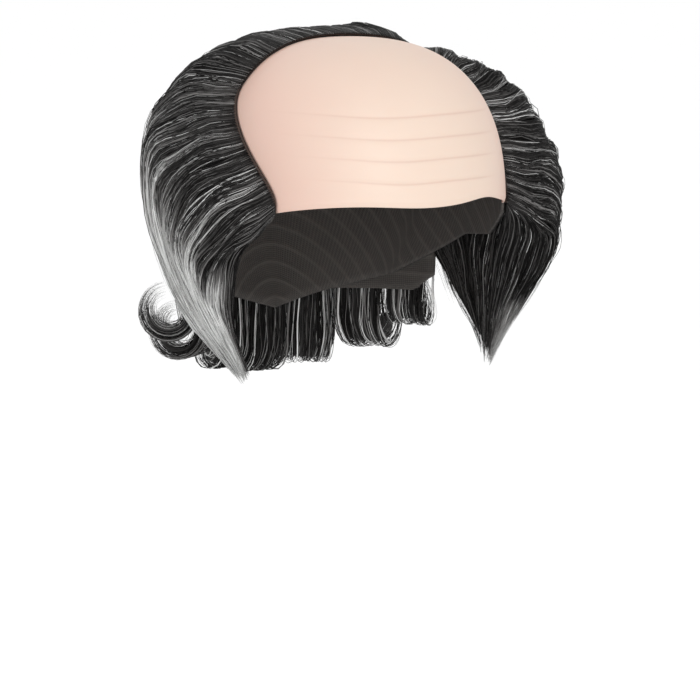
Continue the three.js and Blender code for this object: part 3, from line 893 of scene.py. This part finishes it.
def path_runs(paths):
    """How far each point of each path lies along it."""
    steps = np.linalg.norm(np.diff(paths, axis=1), axis=-1)
    return np.concatenate([np.zeros((len(paths), 1)), np.cumsum(steps, axis=1)], axis=1)


def wave_growth(far, share):
    """How fully hair waves: not at the seam, and calmer towards the tip."""
    return smooth(far, *WAVE_GROWS) * (1.0 - WAVE_CALMS * share)


def lock_wave(section, far, share, phase):
    """How far a lock waves aside: a sine of the run along it, as large as its wave has grown."""
    turn = 2.0 * np.pi * far / section.wave_length + phase
    return wave_growth(far, share) * section.wave * np.sin(turn)


def frost(section, roll, share):
    """How far the hair has turned pale at a share of its length."""
    places = np.linspace(section.first, section.last, len(section.pale_from))
    start = np.interp(roll, places, section.pale_from)
    return section.pale_most * smooth(share, start, start + PALE_SPAN)


def rounded(paths, passes):
    """Paths with each inner point drawn a quarter of the way to both neighbours, a few times over."""
    for _ in range(passes):
        inner = 0.5 * paths[:, 1:-1] + 0.25 * (paths[:, :-2] + paths[:, 2:])
        paths = np.concatenate([paths[:, :1], inner, paths[:, -1:]], axis=1)
    return paths


def make_underhair(section, settings):
    """The dense hair beneath the top strands: a closed wall from the inside of the hair to a share
    of its full stand, thin along the temple's edge. Its streaks wave with the locks."""
    flow, length = flow_of(section)
    u = np.linspace(section.first, section.last, settings.under_columns)
    v = np.linspace(0.0, 1.0, settings.under_rows) ** settings.root_pitch
    roll, share = np.meshgrid(u, v)
    share = share * settings.under_reach * lock_reach(section, roll, settings)
    run = share * length_at(section, u, length)
    under = under_lift(section, share)
    edge = smooth(mirrored(roll), CORNER_ROLL, CORNER_ROLL + settings.under_edge)
    full = outer_lift(section, roll, share) * lock_swell(section, roll, settings)
    stand = settings.under_share * full * (1.0 - np.exp(-run / rise_run(section, roll))) * edge
    base = sample_flow(section, flow, roll, share)
    way = lift_way(base, roll)
    within = under + settings.under_gap * smooth(run, 0.0, DENSE_GAP_RUN)
    over = np.maximum(stand, within + settings.strand_width)
    outer = rounded((base + over[..., None] * way).swapaxes(0, 1), settings.rounding)
    far = path_runs(outer).T
    points, faces = shell(outer.swapaxes(0, 1), base + within[..., None] * way)
    pale = frost(section, roll, share)
    phase = lock_blend(across_share(section, roll) * settings.locks, lock_phase(settings))
    across = np.radians(roll) * HALF_WIDTH + lock_wave(section, far, share, phase)
    values = both_faces(across=across, along=run)
    paler = np.concatenate([settings.under_pale * pale, DENSE_INSIDE_PALE * pale])
    values["tone"] = settings.under_tone + paler
    return add_piece(section.node + "_under", points, [faces], values)


def comb(section, rng, count, points, settings):
    """The paths of many combed strands, the way each stands off, its roll, share, run and depth at
    each point, and its lock. A strand starts on the track, rises with 1 - exp(-run / rise) to its
    depth in the hair, follows the flow and draws in to the middle of its lock. Locks wave
    together, and each strand wanders a little by itself."""
    flow, length = flow_of(section)
    span = section.last - section.first

    def one(low=0.0, high=1.0):
        return rng.uniform(low, high, (count, 1))

    root = section.first + span * (np.arange(count)[:, None] + one()) / count
    near = CORNER_ROLL + FRONT_SPAN * one() ** 2
    front = one() < section.front_share
    root = np.where(front, near if section.first < 90.0 else 180.0 - near, root)
    place = across_share(section, root)
    lock = np.clip(place * settings.locks, 0, settings.locks - 1).astype(int)
    of_lock = np.random.default_rng(settings.seed + SWING_SEED)
    swing = of_lock.uniform(*LOCK_SWING, settings.locks)[lock]
    reach = of_lock.uniform(*section.reach, settings.locks)[lock]
    t = np.linspace(0.0, 1.0, points)[None] ** settings.root_pitch
    middle = section.first + span * (lock + 0.5) / settings.locks
    draw = np.where(front | (one() < settings.loose_share), 0.0, settings.draw)
    roll = root + (middle - root) * draw * smooth(t, *DRAW_FADE)
    roll = roll + section.drift * np.sin(np.pi * place) * smooth(t, 0.0, DRIFT_SPAN)
    reach = reach * (1.0 + LENGTH_SPREAD * rng.normal(size=(count, 1)))
    share = np.minimum(reach, LENGTH_MOST * section.reach[1]) * t
    run = share * length_at(section, root, length)
    level = np.where(one() < settings.inner_share, one(0.0, INNER_MOST), 1.0 - settings.depth * one() ** 2)
    edge = 1.0 - smooth(mirrored(root), CORNER_ROLL, CORNER_ROLL + FRONT_SPAN)
    level = level + (one() - level) * edge * np.sign(section.front_share)
    level = np.where(one() < settings.stray_share, one(1.0, STRAY_MOST), level)
    under = under_lift(section, share)
    full = outer_lift(section, roll, share) * lock_swell(section, roll, settings)
    full = np.maximum(full, under + settings.strand_width)
    rise = 1.0 - np.exp(-run / (rise_run(section, roll) * one(RISE_LEAST, 1.0)))
    lift = settings.root_lift + (under + level * (full - under) - settings.root_lift) * rise
    base = sample_flow(section, flow, roll, share)
    way = lift_way(base, roll)
    across = unit(np.cross(way, np.gradient(base, axis=1)))
    paths = rounded(base + np.maximum(lift, HAIR_UNDER)[..., None] * way, settings.rounding)
    far = path_runs(paths)
    own = 2.0 * np.pi * (far / (section.wave_length * one(*OWN_WAVE)) + one())
    stray = settings.wander * wave_growth(far, share) * np.sin(own)
    sway = swing * lock_wave(section, far, share, lock_phase(settings)[lock]) + stray
    return paths + sway[..., None] * across, way, roll, share, run, level, lock


def tone_of(rng, count, dark_share, grey_share):
    """A tone for each strand: near-black, grey or white, by their shares."""
    kind = rng.random((count, 1))
    dark, grey, white = (rng.uniform(*tones, (count, 1)) for tones in (DARK_TONES, GREY_TONES, WHITE_TONES))
    return np.where(kind < dark_share, dark, np.where(kind < dark_share + grey_share, grey, white))


def add_bundle(name, rng, paths, outwards, tone, run, layer):
    """Tubes of one layer along paths: tilted at random, tapered to both ends, with tone, and places
    across and along for the streaks."""
    count, steps = paths.shape[:2]
    t = np.linspace(0.0, 1.0, steps)[None]
    along = unit(np.gradient(paths, axis=1))
    tilt = rng.normal(0.0, layer.tilt, (count, 1, 1))
    outwards = outwards * np.cos(tilt) + np.cross(along, outwards) * np.sin(tilt)
    taper = ROOT_WIDTH + ROOT_GROWTH * smooth(t, 0.0, ROOT_GROWTH_SPAN)
    taper = taper * (1.0 - TIP_LOSS * smooth(t, TIP_LOSS_FROM, 1.0))
    radii = 0.5 * layer.width * rng.uniform(*WIDTH_RANGE, (count, 1)) * taper
    points, faces, aside = tubes(paths, outwards, radii, layer.sides, layer.flat)
    values = {
        "tone": np.repeat(tone, layer.sides, axis=1),
        "along": np.repeat(run, layer.sides, axis=1),
        "across": aside + rng.uniform(0.0, 1.0, (count, 1, 1)),
    }
    return add_piece(name, points, faces, values)


def make_hair(section, layer, settings):
    """One layer of a section's combed hair: salt and pepper at the roots, paler along its length."""
    rng = np.random.default_rng(settings.seed + layer.own_seed)
    count = layer.back_count if section.front_share == 0.0 else layer.side_count
    paths, way, roll, share, run, level, lock = comb(section, rng, count, layer.points, settings)
    of_lock = np.random.default_rng(settings.seed + section.own_seed)
    tint = (LOCK_TINT * of_lock.random(settings.locks) ** 2)[lock]
    late = of_lock.normal(0.0, LOCK_LATE, settings.locks)[lock] + rng.normal(0.0, STRAND_LATE, (count, 1))
    start = tone_of(rng, count, layer.dark_share, layer.grey_share) + tint
    # painted highlight: strands are paler near their roots, where they rise off the seam
    start = start + settings.root_sheen * np.exp(-run / settings.root_sheen_run)
    stays_dark = rng.random((count, 1)) < STAYS_DARK
    tip = np.where(stays_dark, *(rng.uniform(*tones, (count, 1)) for tones in (DARK_TIPS, PALE_TIPS)))
    turned = frost(section, roll, share + late) * smooth(level, *PALE_HEIGHTS)
    tone = start + (tip - start) * turned
    return add_bundle(section.node + layer.suffix, rng, paths, way, tone, run, layer)


def curl_paths(which, nest, spread, turn, points, settings):
    """The paths of strands of the curls, the way out from each curl, and the share and run at each
    point. A strand hangs from the strip, lower towards the middle of the nape, then goes round an
    arc, outwards and up. Strands nest about one centre and draw together towards the tip."""
    middle = CURL_FROM + (360.0 - 2.0 * CURL_FROM) * (which + 0.5) / CURL_COUNT
    inwards = 1.0 - np.abs(180.0 - middle) / (180.0 - CURL_FROM)
    drop = STRIP_TOP - SIDE_DROP - (NAPE_DROP - SIDE_DROP) * np.sin(0.5 * np.pi * inwards)
    lean = CURL_LEAN * np.sin(CURL_LEAN_STEP * (which + 1.0))
    inset = settings.half_thickness * nest
    radius = settings.hook_radius - inset
    t = np.linspace(0.0, 1.0, points)[None]
    run = (drop + turn * radius) * t
    hook = np.clip((run - drop) / (turn * radius), 0.0, 1.0)
    angle = turn * hook
    aside = settings.half_width * spread * (1.0 - settings.narrowing * hook**CURL_NARROWS_AS)
    height = STRIP_TOP - np.minimum(run, drop)
    root = head_at(middle + lean * hook + np.degrees(aside / CURL_ARM), np.maximum(height, STRIP_BOTTOM))
    out = unit(head_normal(root) * LEVEL)
    stand = settings.start_lift + inset + radius * (1.0 - np.cos(angle))
    level = height - radius * np.sin(angle)
    paths = root * LEVEL + out * stand[..., None] + level[..., None] * UP
    facing = out * np.cos(angle)[..., None] + np.sin(angle)[..., None] * UP
    return paths, facing, hook, run


def make_undercurls(settings):
    """The dense middle of each curl: a flat tube that narrows towards its tip."""
    which = np.arange(CURL_COUNT)[:, None]
    still = np.zeros((CURL_COUNT, 1))
    turn = settings.under_turn * np.radians(settings.hook_turn) + still
    paths, facing, hook, run = curl_paths(which, still, still, turn, settings.under_points, settings)
    radii = settings.under_share * settings.half_width * np.sqrt(CURL_BLUNT - hook)
    points, faces, aside = tubes(paths, facing, radii, settings.under_sides, settings.under_flat)
    tone = settings.under_tone + CURL_DENSE_PALER * smooth(hook, *CURL_DENSE_FADE)
    values = {
        "tone": np.repeat(tone, settings.under_sides, axis=1),
        "along": np.repeat(run, settings.under_sides, axis=1),
        "across": aside,
    }
    return add_piece("nape_curls_under", points, faces, values)


def make_curls(layer, settings):
    """One layer of the nape curls: dark round the outside, paler inside and towards the tips."""
    rng = np.random.default_rng(settings.seed + layer.own_seed)
    count = layer.curl_count
    which = np.arange(count)[:, None] % CURL_COUNT
    nest = 1.0 - 2.0 * rng.random((count, 1)) ** CURL_NEST_AS
    spread = rng.uniform(-1.0, 1.0, (count, 1))
    turn = np.radians(settings.hook_turn) * rng.uniform(*CURL_TURNS, (count, 1))
    paths, facing, hook, run = curl_paths(which, nest, spread, turn, layer.points, settings)
    sway = settings.wander * np.sin(run / settings.wave + rng.uniform(0.0, 2.0 * np.pi, (count, 1)))
    across = unit(np.cross(facing, np.gradient(paths, axis=1)))
    paths = paths + (sway * smooth(run, 0.0, CURL_STRAY_RUN))[..., None] * across
    start = tone_of(rng, count, settings.dark_share, settings.grey_share)
    tip = np.clip(start + rng.uniform(*CURL_TIP_PALER, (count, 1)), 0.0, 1.0)
    inner = smooth(nest, *CURL_INNER) * smooth(hook, *CURL_INNER_FADE)
    tone = start + (tip - start) * np.maximum(smooth(hook, *CURL_TIP_FADE), inner)
    return add_bundle("nape_curls" + layer.suffix, rng, paths, facing, tone, run, layer)


def make_strip():
    """The sewn strip round the nape that the curls hang from, narrower at its ends."""
    start = CURL_FROM - STRIP_PAST
    u = np.linspace(start, 360.0 - start, STRIP_COLUMNS)
    v = np.linspace(0.0, 1.0, STRIP_ROWS)
    around, share = np.meshgrid(u, v)
    narrower = 1.0 - smooth(180.0 - start - np.abs(around - 180.0), 0.0, STRIP_TAPER_SPAN)
    top, bottom = STRIP_TOP + STRIP_LAP, STRIP_BOTTOM + STRIP_TAPER * narrower
    height = top + (bottom - top) * share
    root = head_at(around, height)
    points, faces = shell(on_head(root, STRIP_OVER), on_head(root, STRIP_UNDER))
    values = both_faces(across=np.radians(around) * HALF_WIDTH, along=-height)
    return add_piece("nape_strip", points, [faces], values)


# Settings

def size_field(name, description, default):
    """A length that a user may change."""
    return FloatProperty(name=name, description=description, default=default, unit="LENGTH", precision=5)


def number_field(name, description, default):
    """A plain number that a user may change."""
    return FloatProperty(name=name, description=description, default=default, precision=4)


def count_field(name, description, default):
    """A whole number that a user may change."""
    return IntProperty(name=name, description=description, default=default, min=1)


def colour_field(name, description, default):
    """A colour that a user may change."""
    return FloatVectorProperty(
        name=name, description=description, default=default, subtype="COLOR", size=3, min=0.0, max=1.0
    )


class WigScalpSettings(PropertyGroup):
    """Sizes and colours of the rubber scalp."""

    wall: size_field("Wall", "Thickness of the rubber", 0.0013)
    crease_depth: size_field("Crease depth", "How far a forehead crease is pressed in", 0.0004)
    crease_width: size_field("Crease width", "Half width of a crease", 0.0016)
    # the dark line along a crease is painted shade
    line_width: size_field("Line width", "Half width of the line along a crease", 0.0007)
    crease_shade_strength: number_field("Line strength", "How dark the line along a crease is", 0.55)
    dent_depth: size_field("Dent depth", "Depth of the dent near the crown", 0.0007)
    columns: count_field("Columns", "Points from seam to seam", 100)
    rows: count_field("Rows", "Points from hem to crown", 120)
    colour: colour_field("Colour", "Pink of the rubber", (0.665, 0.522, 0.432))
    blotch_colour: colour_field("Blotches", "Colour of its paler blotches", (0.685, 0.552, 0.460))
    # darker, pinker colour of the painted shade towards the seam
    edge_shade_colour: colour_field("Edges", "Pinker colour towards the seam", (0.620, 0.432, 0.362))
    # colour of the painted shade along a crease
    crease_shade_colour: colour_field("Creases", "Colour of the line along a crease", (0.56, 0.385, 0.315))


class WigCapSettings(PropertyGroup):
    """Sizes and colours of the sewn cap."""

    wall: size_field("Wall", "Thickness of the net", 0.0015)
    binding: size_field("Binding", "How much thicker the rim is", 0.0006)
    mesh_size: size_field("Mesh size", "From thread to thread of the net", 0.0022)
    row_spacing: size_field("Row spacing", "From sewn row to sewn row", 0.010)
    flat_width: size_field("Flat width", "Width of the net before it is sewn", 0.30)
    flat_length: size_field("Flat length", "Length of the net before it is sewn", 0.19)
    columns: count_field("Columns", "Points along the seam", 110)
    rows: count_field("Rows", "Points from seam to rim", 40)
    colour: colour_field("Colour", "Colour of the net", (0.010, 0.009, 0.008))
    thread_colour: colour_field("Thread", "Colour of its raised threads", (0.070, 0.062, 0.056))


class WigTrackSettings(PropertyGroup):
    """Sizes and colours of the stitched track."""

    half_width: size_field("Half width", "Half the width of the track", 0.0014)
    height: size_field("Height", "Thickness of the track", 0.0012)
    under: size_field("Underside", "How far the track starts above the head form", 0.0019)
    thread: size_field("Thread", "Radius of a stitch", 0.00022)
    slant: number_field("Slant", "Degrees of roll that a stitch leans each way", 0.35)
    stitches: count_field("Stitches", "Number of stitches over the track", 190)
    steps: count_field("Steps", "Sections along the track", 160)
    sides: count_field("Sides", "Points round the track", 10)
    colour: colour_field("Colour", "Dark brown of the thread", (0.018, 0.010, 0.007))
    light_colour: colour_field("Light colour", "Lighter brown of the thread", (0.060, 0.034, 0.024))


class WigHairSettings(PropertyGroup):
    """Sizes, shares and colours of the hair."""

    strand_width: size_field("Strand width", "Least thickness of any hair", 0.0005)
    root_lift: size_field("Root lift", "How far above the head form a strand starts", 0.0030)
    wander: size_field("Wander", "How far a strand strays from its lock", 0.0006)
    locks: count_field("Locks", "Locks in one mass of hair", 30)
    furrow: number_field("Furrow", "Depth of the furrow between two locks", 0.04)
    root_pitch: number_field("Root pitch", "How much closer the points lie at the roots", 1.7)
    draw: number_field("Draw", "How far strands draw in to the middle of their lock", 0.5)
    rounding: count_field("Rounding", "How often the bends of a strand are rounded", 4)
    depth: number_field("Depth", "How deep in the hair the top strands reach", 0.03)
    loose_share: number_field("Loose", "Share of strands that keep their own way", 0.25)
    inner_share: number_field("Inner", "Share of strands on the inside of the hair", 0.12)
    stray_share: number_field("Strays", "Share of strands that stand out of the hair", 0.012)
    # painted highlight on the roots along the seam, and the run over which it fades
    root_sheen: number_field("Root grey", "How much paler a strand is at its root", 0.05)
    root_sheen_run: size_field("Root run", "Run over which the root's pallor fades", 0.014)
    under_share: number_field("Under share", "Stand of the dense hair beneath the strands", 0.93)
    under_gap: size_field("Under gap", "Room for strands on the inside of the dense hair", 0.0030)
    under_reach: number_field("Under reach", "Length of the dense hair beneath the strands", 0.95)
    under_notch: number_field("Under notch", "How much shorter the dense hair is between two locks", 0.16)
    under_edge: number_field("Under edge", "Degrees of roll over which it thins out at the temple", 8.0)
    under_columns: count_field("Under columns", "Points across the dense hair", 180)
    under_rows: count_field("Under rows", "Points along the dense hair", 22)
    under_tone: number_field("Under tone", "Tone of the dense hair, from dark to white", -0.06)
    under_pale: number_field("Under pale", "How much paler the dense hair turns", 0.88)
    seed: count_field("Seed", "Number that the random places start from", 11)
    dark_colour: colour_field("Dark", "Colour of the dark strands", (0.0058, 0.0053, 0.0051))
    grey_colour: colour_field("Grey", "Colour of the grey strands", (0.16, 0.155, 0.152))
    white_colour: colour_field("White", "Colour of the white strands", (0.86, 0.865, 0.855))


class WigCurlSettings(PropertyGroup):
    """Sizes of the nape curls."""

    hook_radius: size_field("Hook radius", "Radius of a curl", 0.0118)
    start_lift: size_field("Start lift", "How far a curl starts off the head", 0.0080)
    half_width: size_field("Half width", "Half the width of a curl", 0.0150)
    half_thickness: size_field("Half thickness", "Half the thickness of a curl", 0.0050)
    narrowing: number_field("Narrowing", "How much narrower a curl is at its tip", 0.62)
    wander: size_field("Wander", "How far a strand strays from its curl", 0.0009)
    wave: size_field("Wave", "Run over which a strand strays once", 0.009)
    hook_turn: number_field("Hook turn", "Degrees that a curl turns through", 250.0)
    dark_share: number_field("Dark", "Share of dark strands", 0.70)
    grey_share: number_field("Grey", "Share of grey strands", 0.22)
    under_share: number_field("Under share", "Width of the dense middle of a curl", 0.8)
    under_turn: number_field("Under turn", "Share of a curl's turn that the dense middle has", 0.75)
    under_flat: number_field("Under flat", "Thickness of the dense middle as a share of its width", 0.16)
    under_tone: number_field("Under tone", "Tone of the dense middle", 0.06)
    under_points: count_field("Under points", "Points along the dense middle", 24)
    under_sides: count_field("Under sides", "Points round the dense middle", 10)
    seed: count_field("Seed", "Number that the random places start from", 23)


class WigStageSettings(PropertyGroup):
    """The floor, the camera and the light from all round."""

    floor_height: size_field("Floor height", "Height of the floor", -0.32)
    floor_size: size_field("Floor size", "Side of the floor", 60.0)
    floor_colour: colour_field("Floor colour", "Pale colour of the floor", (0.97, 0.97, 0.97))
    azimuth: number_field("Azimuth", "Degrees that the camera stands to the wearer's left", -28.0)
    elevation: number_field("Elevation", "Degrees that the camera stands above its aim", 7.0)
    distance: size_field("Distance", "From the aim to the camera", 2.2)
    aim_height: size_field("Aim height", "Height of the point that the camera looks at", -0.077)
    view_width: size_field("View width", "Width of the picture at the aim", 0.3784)
    world_light: number_field("World light", "Strength of the light from all round", 1.03)


# Operators

class WIG_OT_scalp(Operator):
    """Make the creased rubber scalp"""

    bl_idname = "wig.scalp"
    bl_label = "Rubber scalp"

    def execute(self, context):
        settings = context.scene.wig_scalp
        dress(make_scalp(settings), rubber_finish(settings), "bald_scalp")
        return {"FINISHED"}


class WIG_OT_cap(Operator):
    """Make the sewn net cap behind the seam"""

    bl_idname = "wig.cap"
    bl_label = "Net cap"

    def execute(self, context):
        settings = context.scene.wig_cap
        piece, area = make_cap(settings)
        dress(piece, net_finish(settings), "wig_cap")
        return {"FINISHED"}


class WIG_OT_track(Operator):
    """Make the track over the seam and its stitches"""

    bl_idname = "wig.track"
    bl_label = "Stitched track"

    def execute(self, context):
        settings = context.scene.wig_track
        material = thread_finish(settings)
        for piece in (make_track(settings), make_stitches(settings)):
            dress(piece, material, "hair_track")
        return {"FINISHED"}


class WIG_OT_hair(Operator):
    """Comb the hair of the sides and the back over its dense under-hair"""

    bl_idname = "wig.hair"
    bl_label = "Combed hair"

    def execute(self, context):
        settings = context.scene.wig_hair
        fibre = hair_finish("hair_fibre", settings, **FIBRE_STREAKS)
        dense = hair_finish("hair_dense", settings, **DENSE_STREAKS)
        for section in SECTIONS:
            dress(make_underhair(section, settings), dense, section.node)
            for layer in LAYERS:
                dress(make_hair(section, layer, settings), fibre, section.node)
        return {"FINISHED"}


class WIG_OT_curls(Operator):
    """Make the curls at the nape and their strip"""

    bl_idname = "wig.curls"
    bl_label = "Nape curls"

    def execute(self, context):
        scene = context.scene
        fibre = hair_finish("curl_fibre", scene.wig_hair, **FIBRE_STREAKS)
        dress(make_undercurls(scene.wig_curls), fibre, "nape_curls")
        for layer in LAYERS:
            dress(make_curls(layer, scene.wig_curls), fibre, "nape_curls")
        dress(make_strip(), net_finish(scene.wig_cap), "nape_curls")
        return {"FINISHED"}


def add_light(name, place, power, side, aim):
    """A square soft light that faces a point."""
    data = bpy.data.lights.new(name, "AREA")
    data.energy = power
    data.size = side
    lamp = bpy.data.objects.new(name, data)
    lamp.location = place
    lamp.rotation_euler = (aim - Vector(place)).to_track_quat("-Z", "Y").to_euler()
    bpy.context.scene.collection.objects.link(lamp)


class WIG_OT_stage(Operator):
    """Make the floor, the soft light and the camera"""

    bl_idname = "wig.stage"
    bl_label = "Stage"

    def execute(self, context):
        scene = context.scene
        settings = scene.wig_stage
        aim = Vector((0.0, 0.0, settings.aim_height))
        half = 0.5 * settings.floor_size
        corners = [(-half, -half), (half, -half), (half, half), (-half, half)]
        points = np.array([(x, y, settings.floor_height) for x, y in corners])
        floor = add_piece("floor", points, [np.array([[0, 1, 2, 3]])])
        paint = Graph("floor_paint")
        floor.data.materials.append(paint.finish(Base_Color=rgba(settings.floor_colour), Roughness=0.9))
        add_light("key_light", KEY_PLACE, KEY_POWER, KEY_SIDE, aim)
        scene.world = bpy.data.worlds.new("studio")
        scene.world.use_nodes = True
        background = scene.world.node_tree.nodes["Background"]
        background.inputs["Color"].default_value = (1.0, 1.0, 1.0, 1.0)
        background.inputs["Strength"].default_value = settings.world_light
        azimuth, elevation = math.radians(settings.azimuth), math.radians(settings.elevation)
        level = math.cos(elevation)
        back = Vector((math.sin(azimuth) * level, -math.cos(azimuth) * level, math.sin(elevation)))
        data = bpy.data.cameras.new("camera")
        data.lens = data.sensor_width * settings.distance / settings.view_width
        camera = bpy.data.objects.new("camera", data)
        camera.location = aim + settings.distance * back
        camera.rotation_euler = back.to_track_quat("Z", "Y").to_euler()
        scene.collection.objects.link(camera)
        scene.camera = camera
        scene.view_settings.view_transform = "Standard"
        return {"FINISHED"}


class WIG_PT_panel(Panel):
    """Lists the pieces of the wig"""

    bl_label = "Bald wig"
    bl_idname = "WIG_PT_panel"
    bl_space_type = "VIEW_3D"
    bl_region_type = "UI"
    bl_category = "Wig"

    def draw(self, context):
        for operator in OPERATORS:
            self.layout.operator(operator.bl_idname)
        for name, group in SETTINGS.items():
            box = self.layout.box()
            for key in group.__annotations__:
                box.prop(getattr(context.scene, name), key)


SETTINGS = {
    "wig_scalp": WigScalpSettings,
    "wig_cap": WigCapSettings,
    "wig_track": WigTrackSettings,
    "wig_hair": WigHairSettings,
    "wig_curls": WigCurlSettings,
    "wig_stage": WigStageSettings,
}
OPERATORS = (WIG_OT_stage, WIG_OT_scalp, WIG_OT_cap, WIG_OT_track, WIG_OT_hair, WIG_OT_curls)


def register():
    """Registers the settings, operators and panel."""
    for name, group in SETTINGS.items():
        bpy.utils.register_class(group)
        setattr(bpy.types.Scene, name, PointerProperty(type=group))
    for kind in (*OPERATORS, WIG_PT_panel):
        bpy.utils.register_class(kind)


def unregister():
    """Takes them out again."""
    for kind in reversed((*OPERATORS, WIG_PT_panel)):
        bpy.utils.unregister_class(kind)
    for name, group in SETTINGS.items():
        delattr(bpy.types.Scene, name)
        bpy.utils.unregister_class(group)


def main():
    """Makes every piece in order."""
    register()
    for operator in OPERATORS:
        group, name = operator.bl_idname.split(".")
        getattr(getattr(bpy.ops, group), name)()


if __name__ == "__main__":
    main()
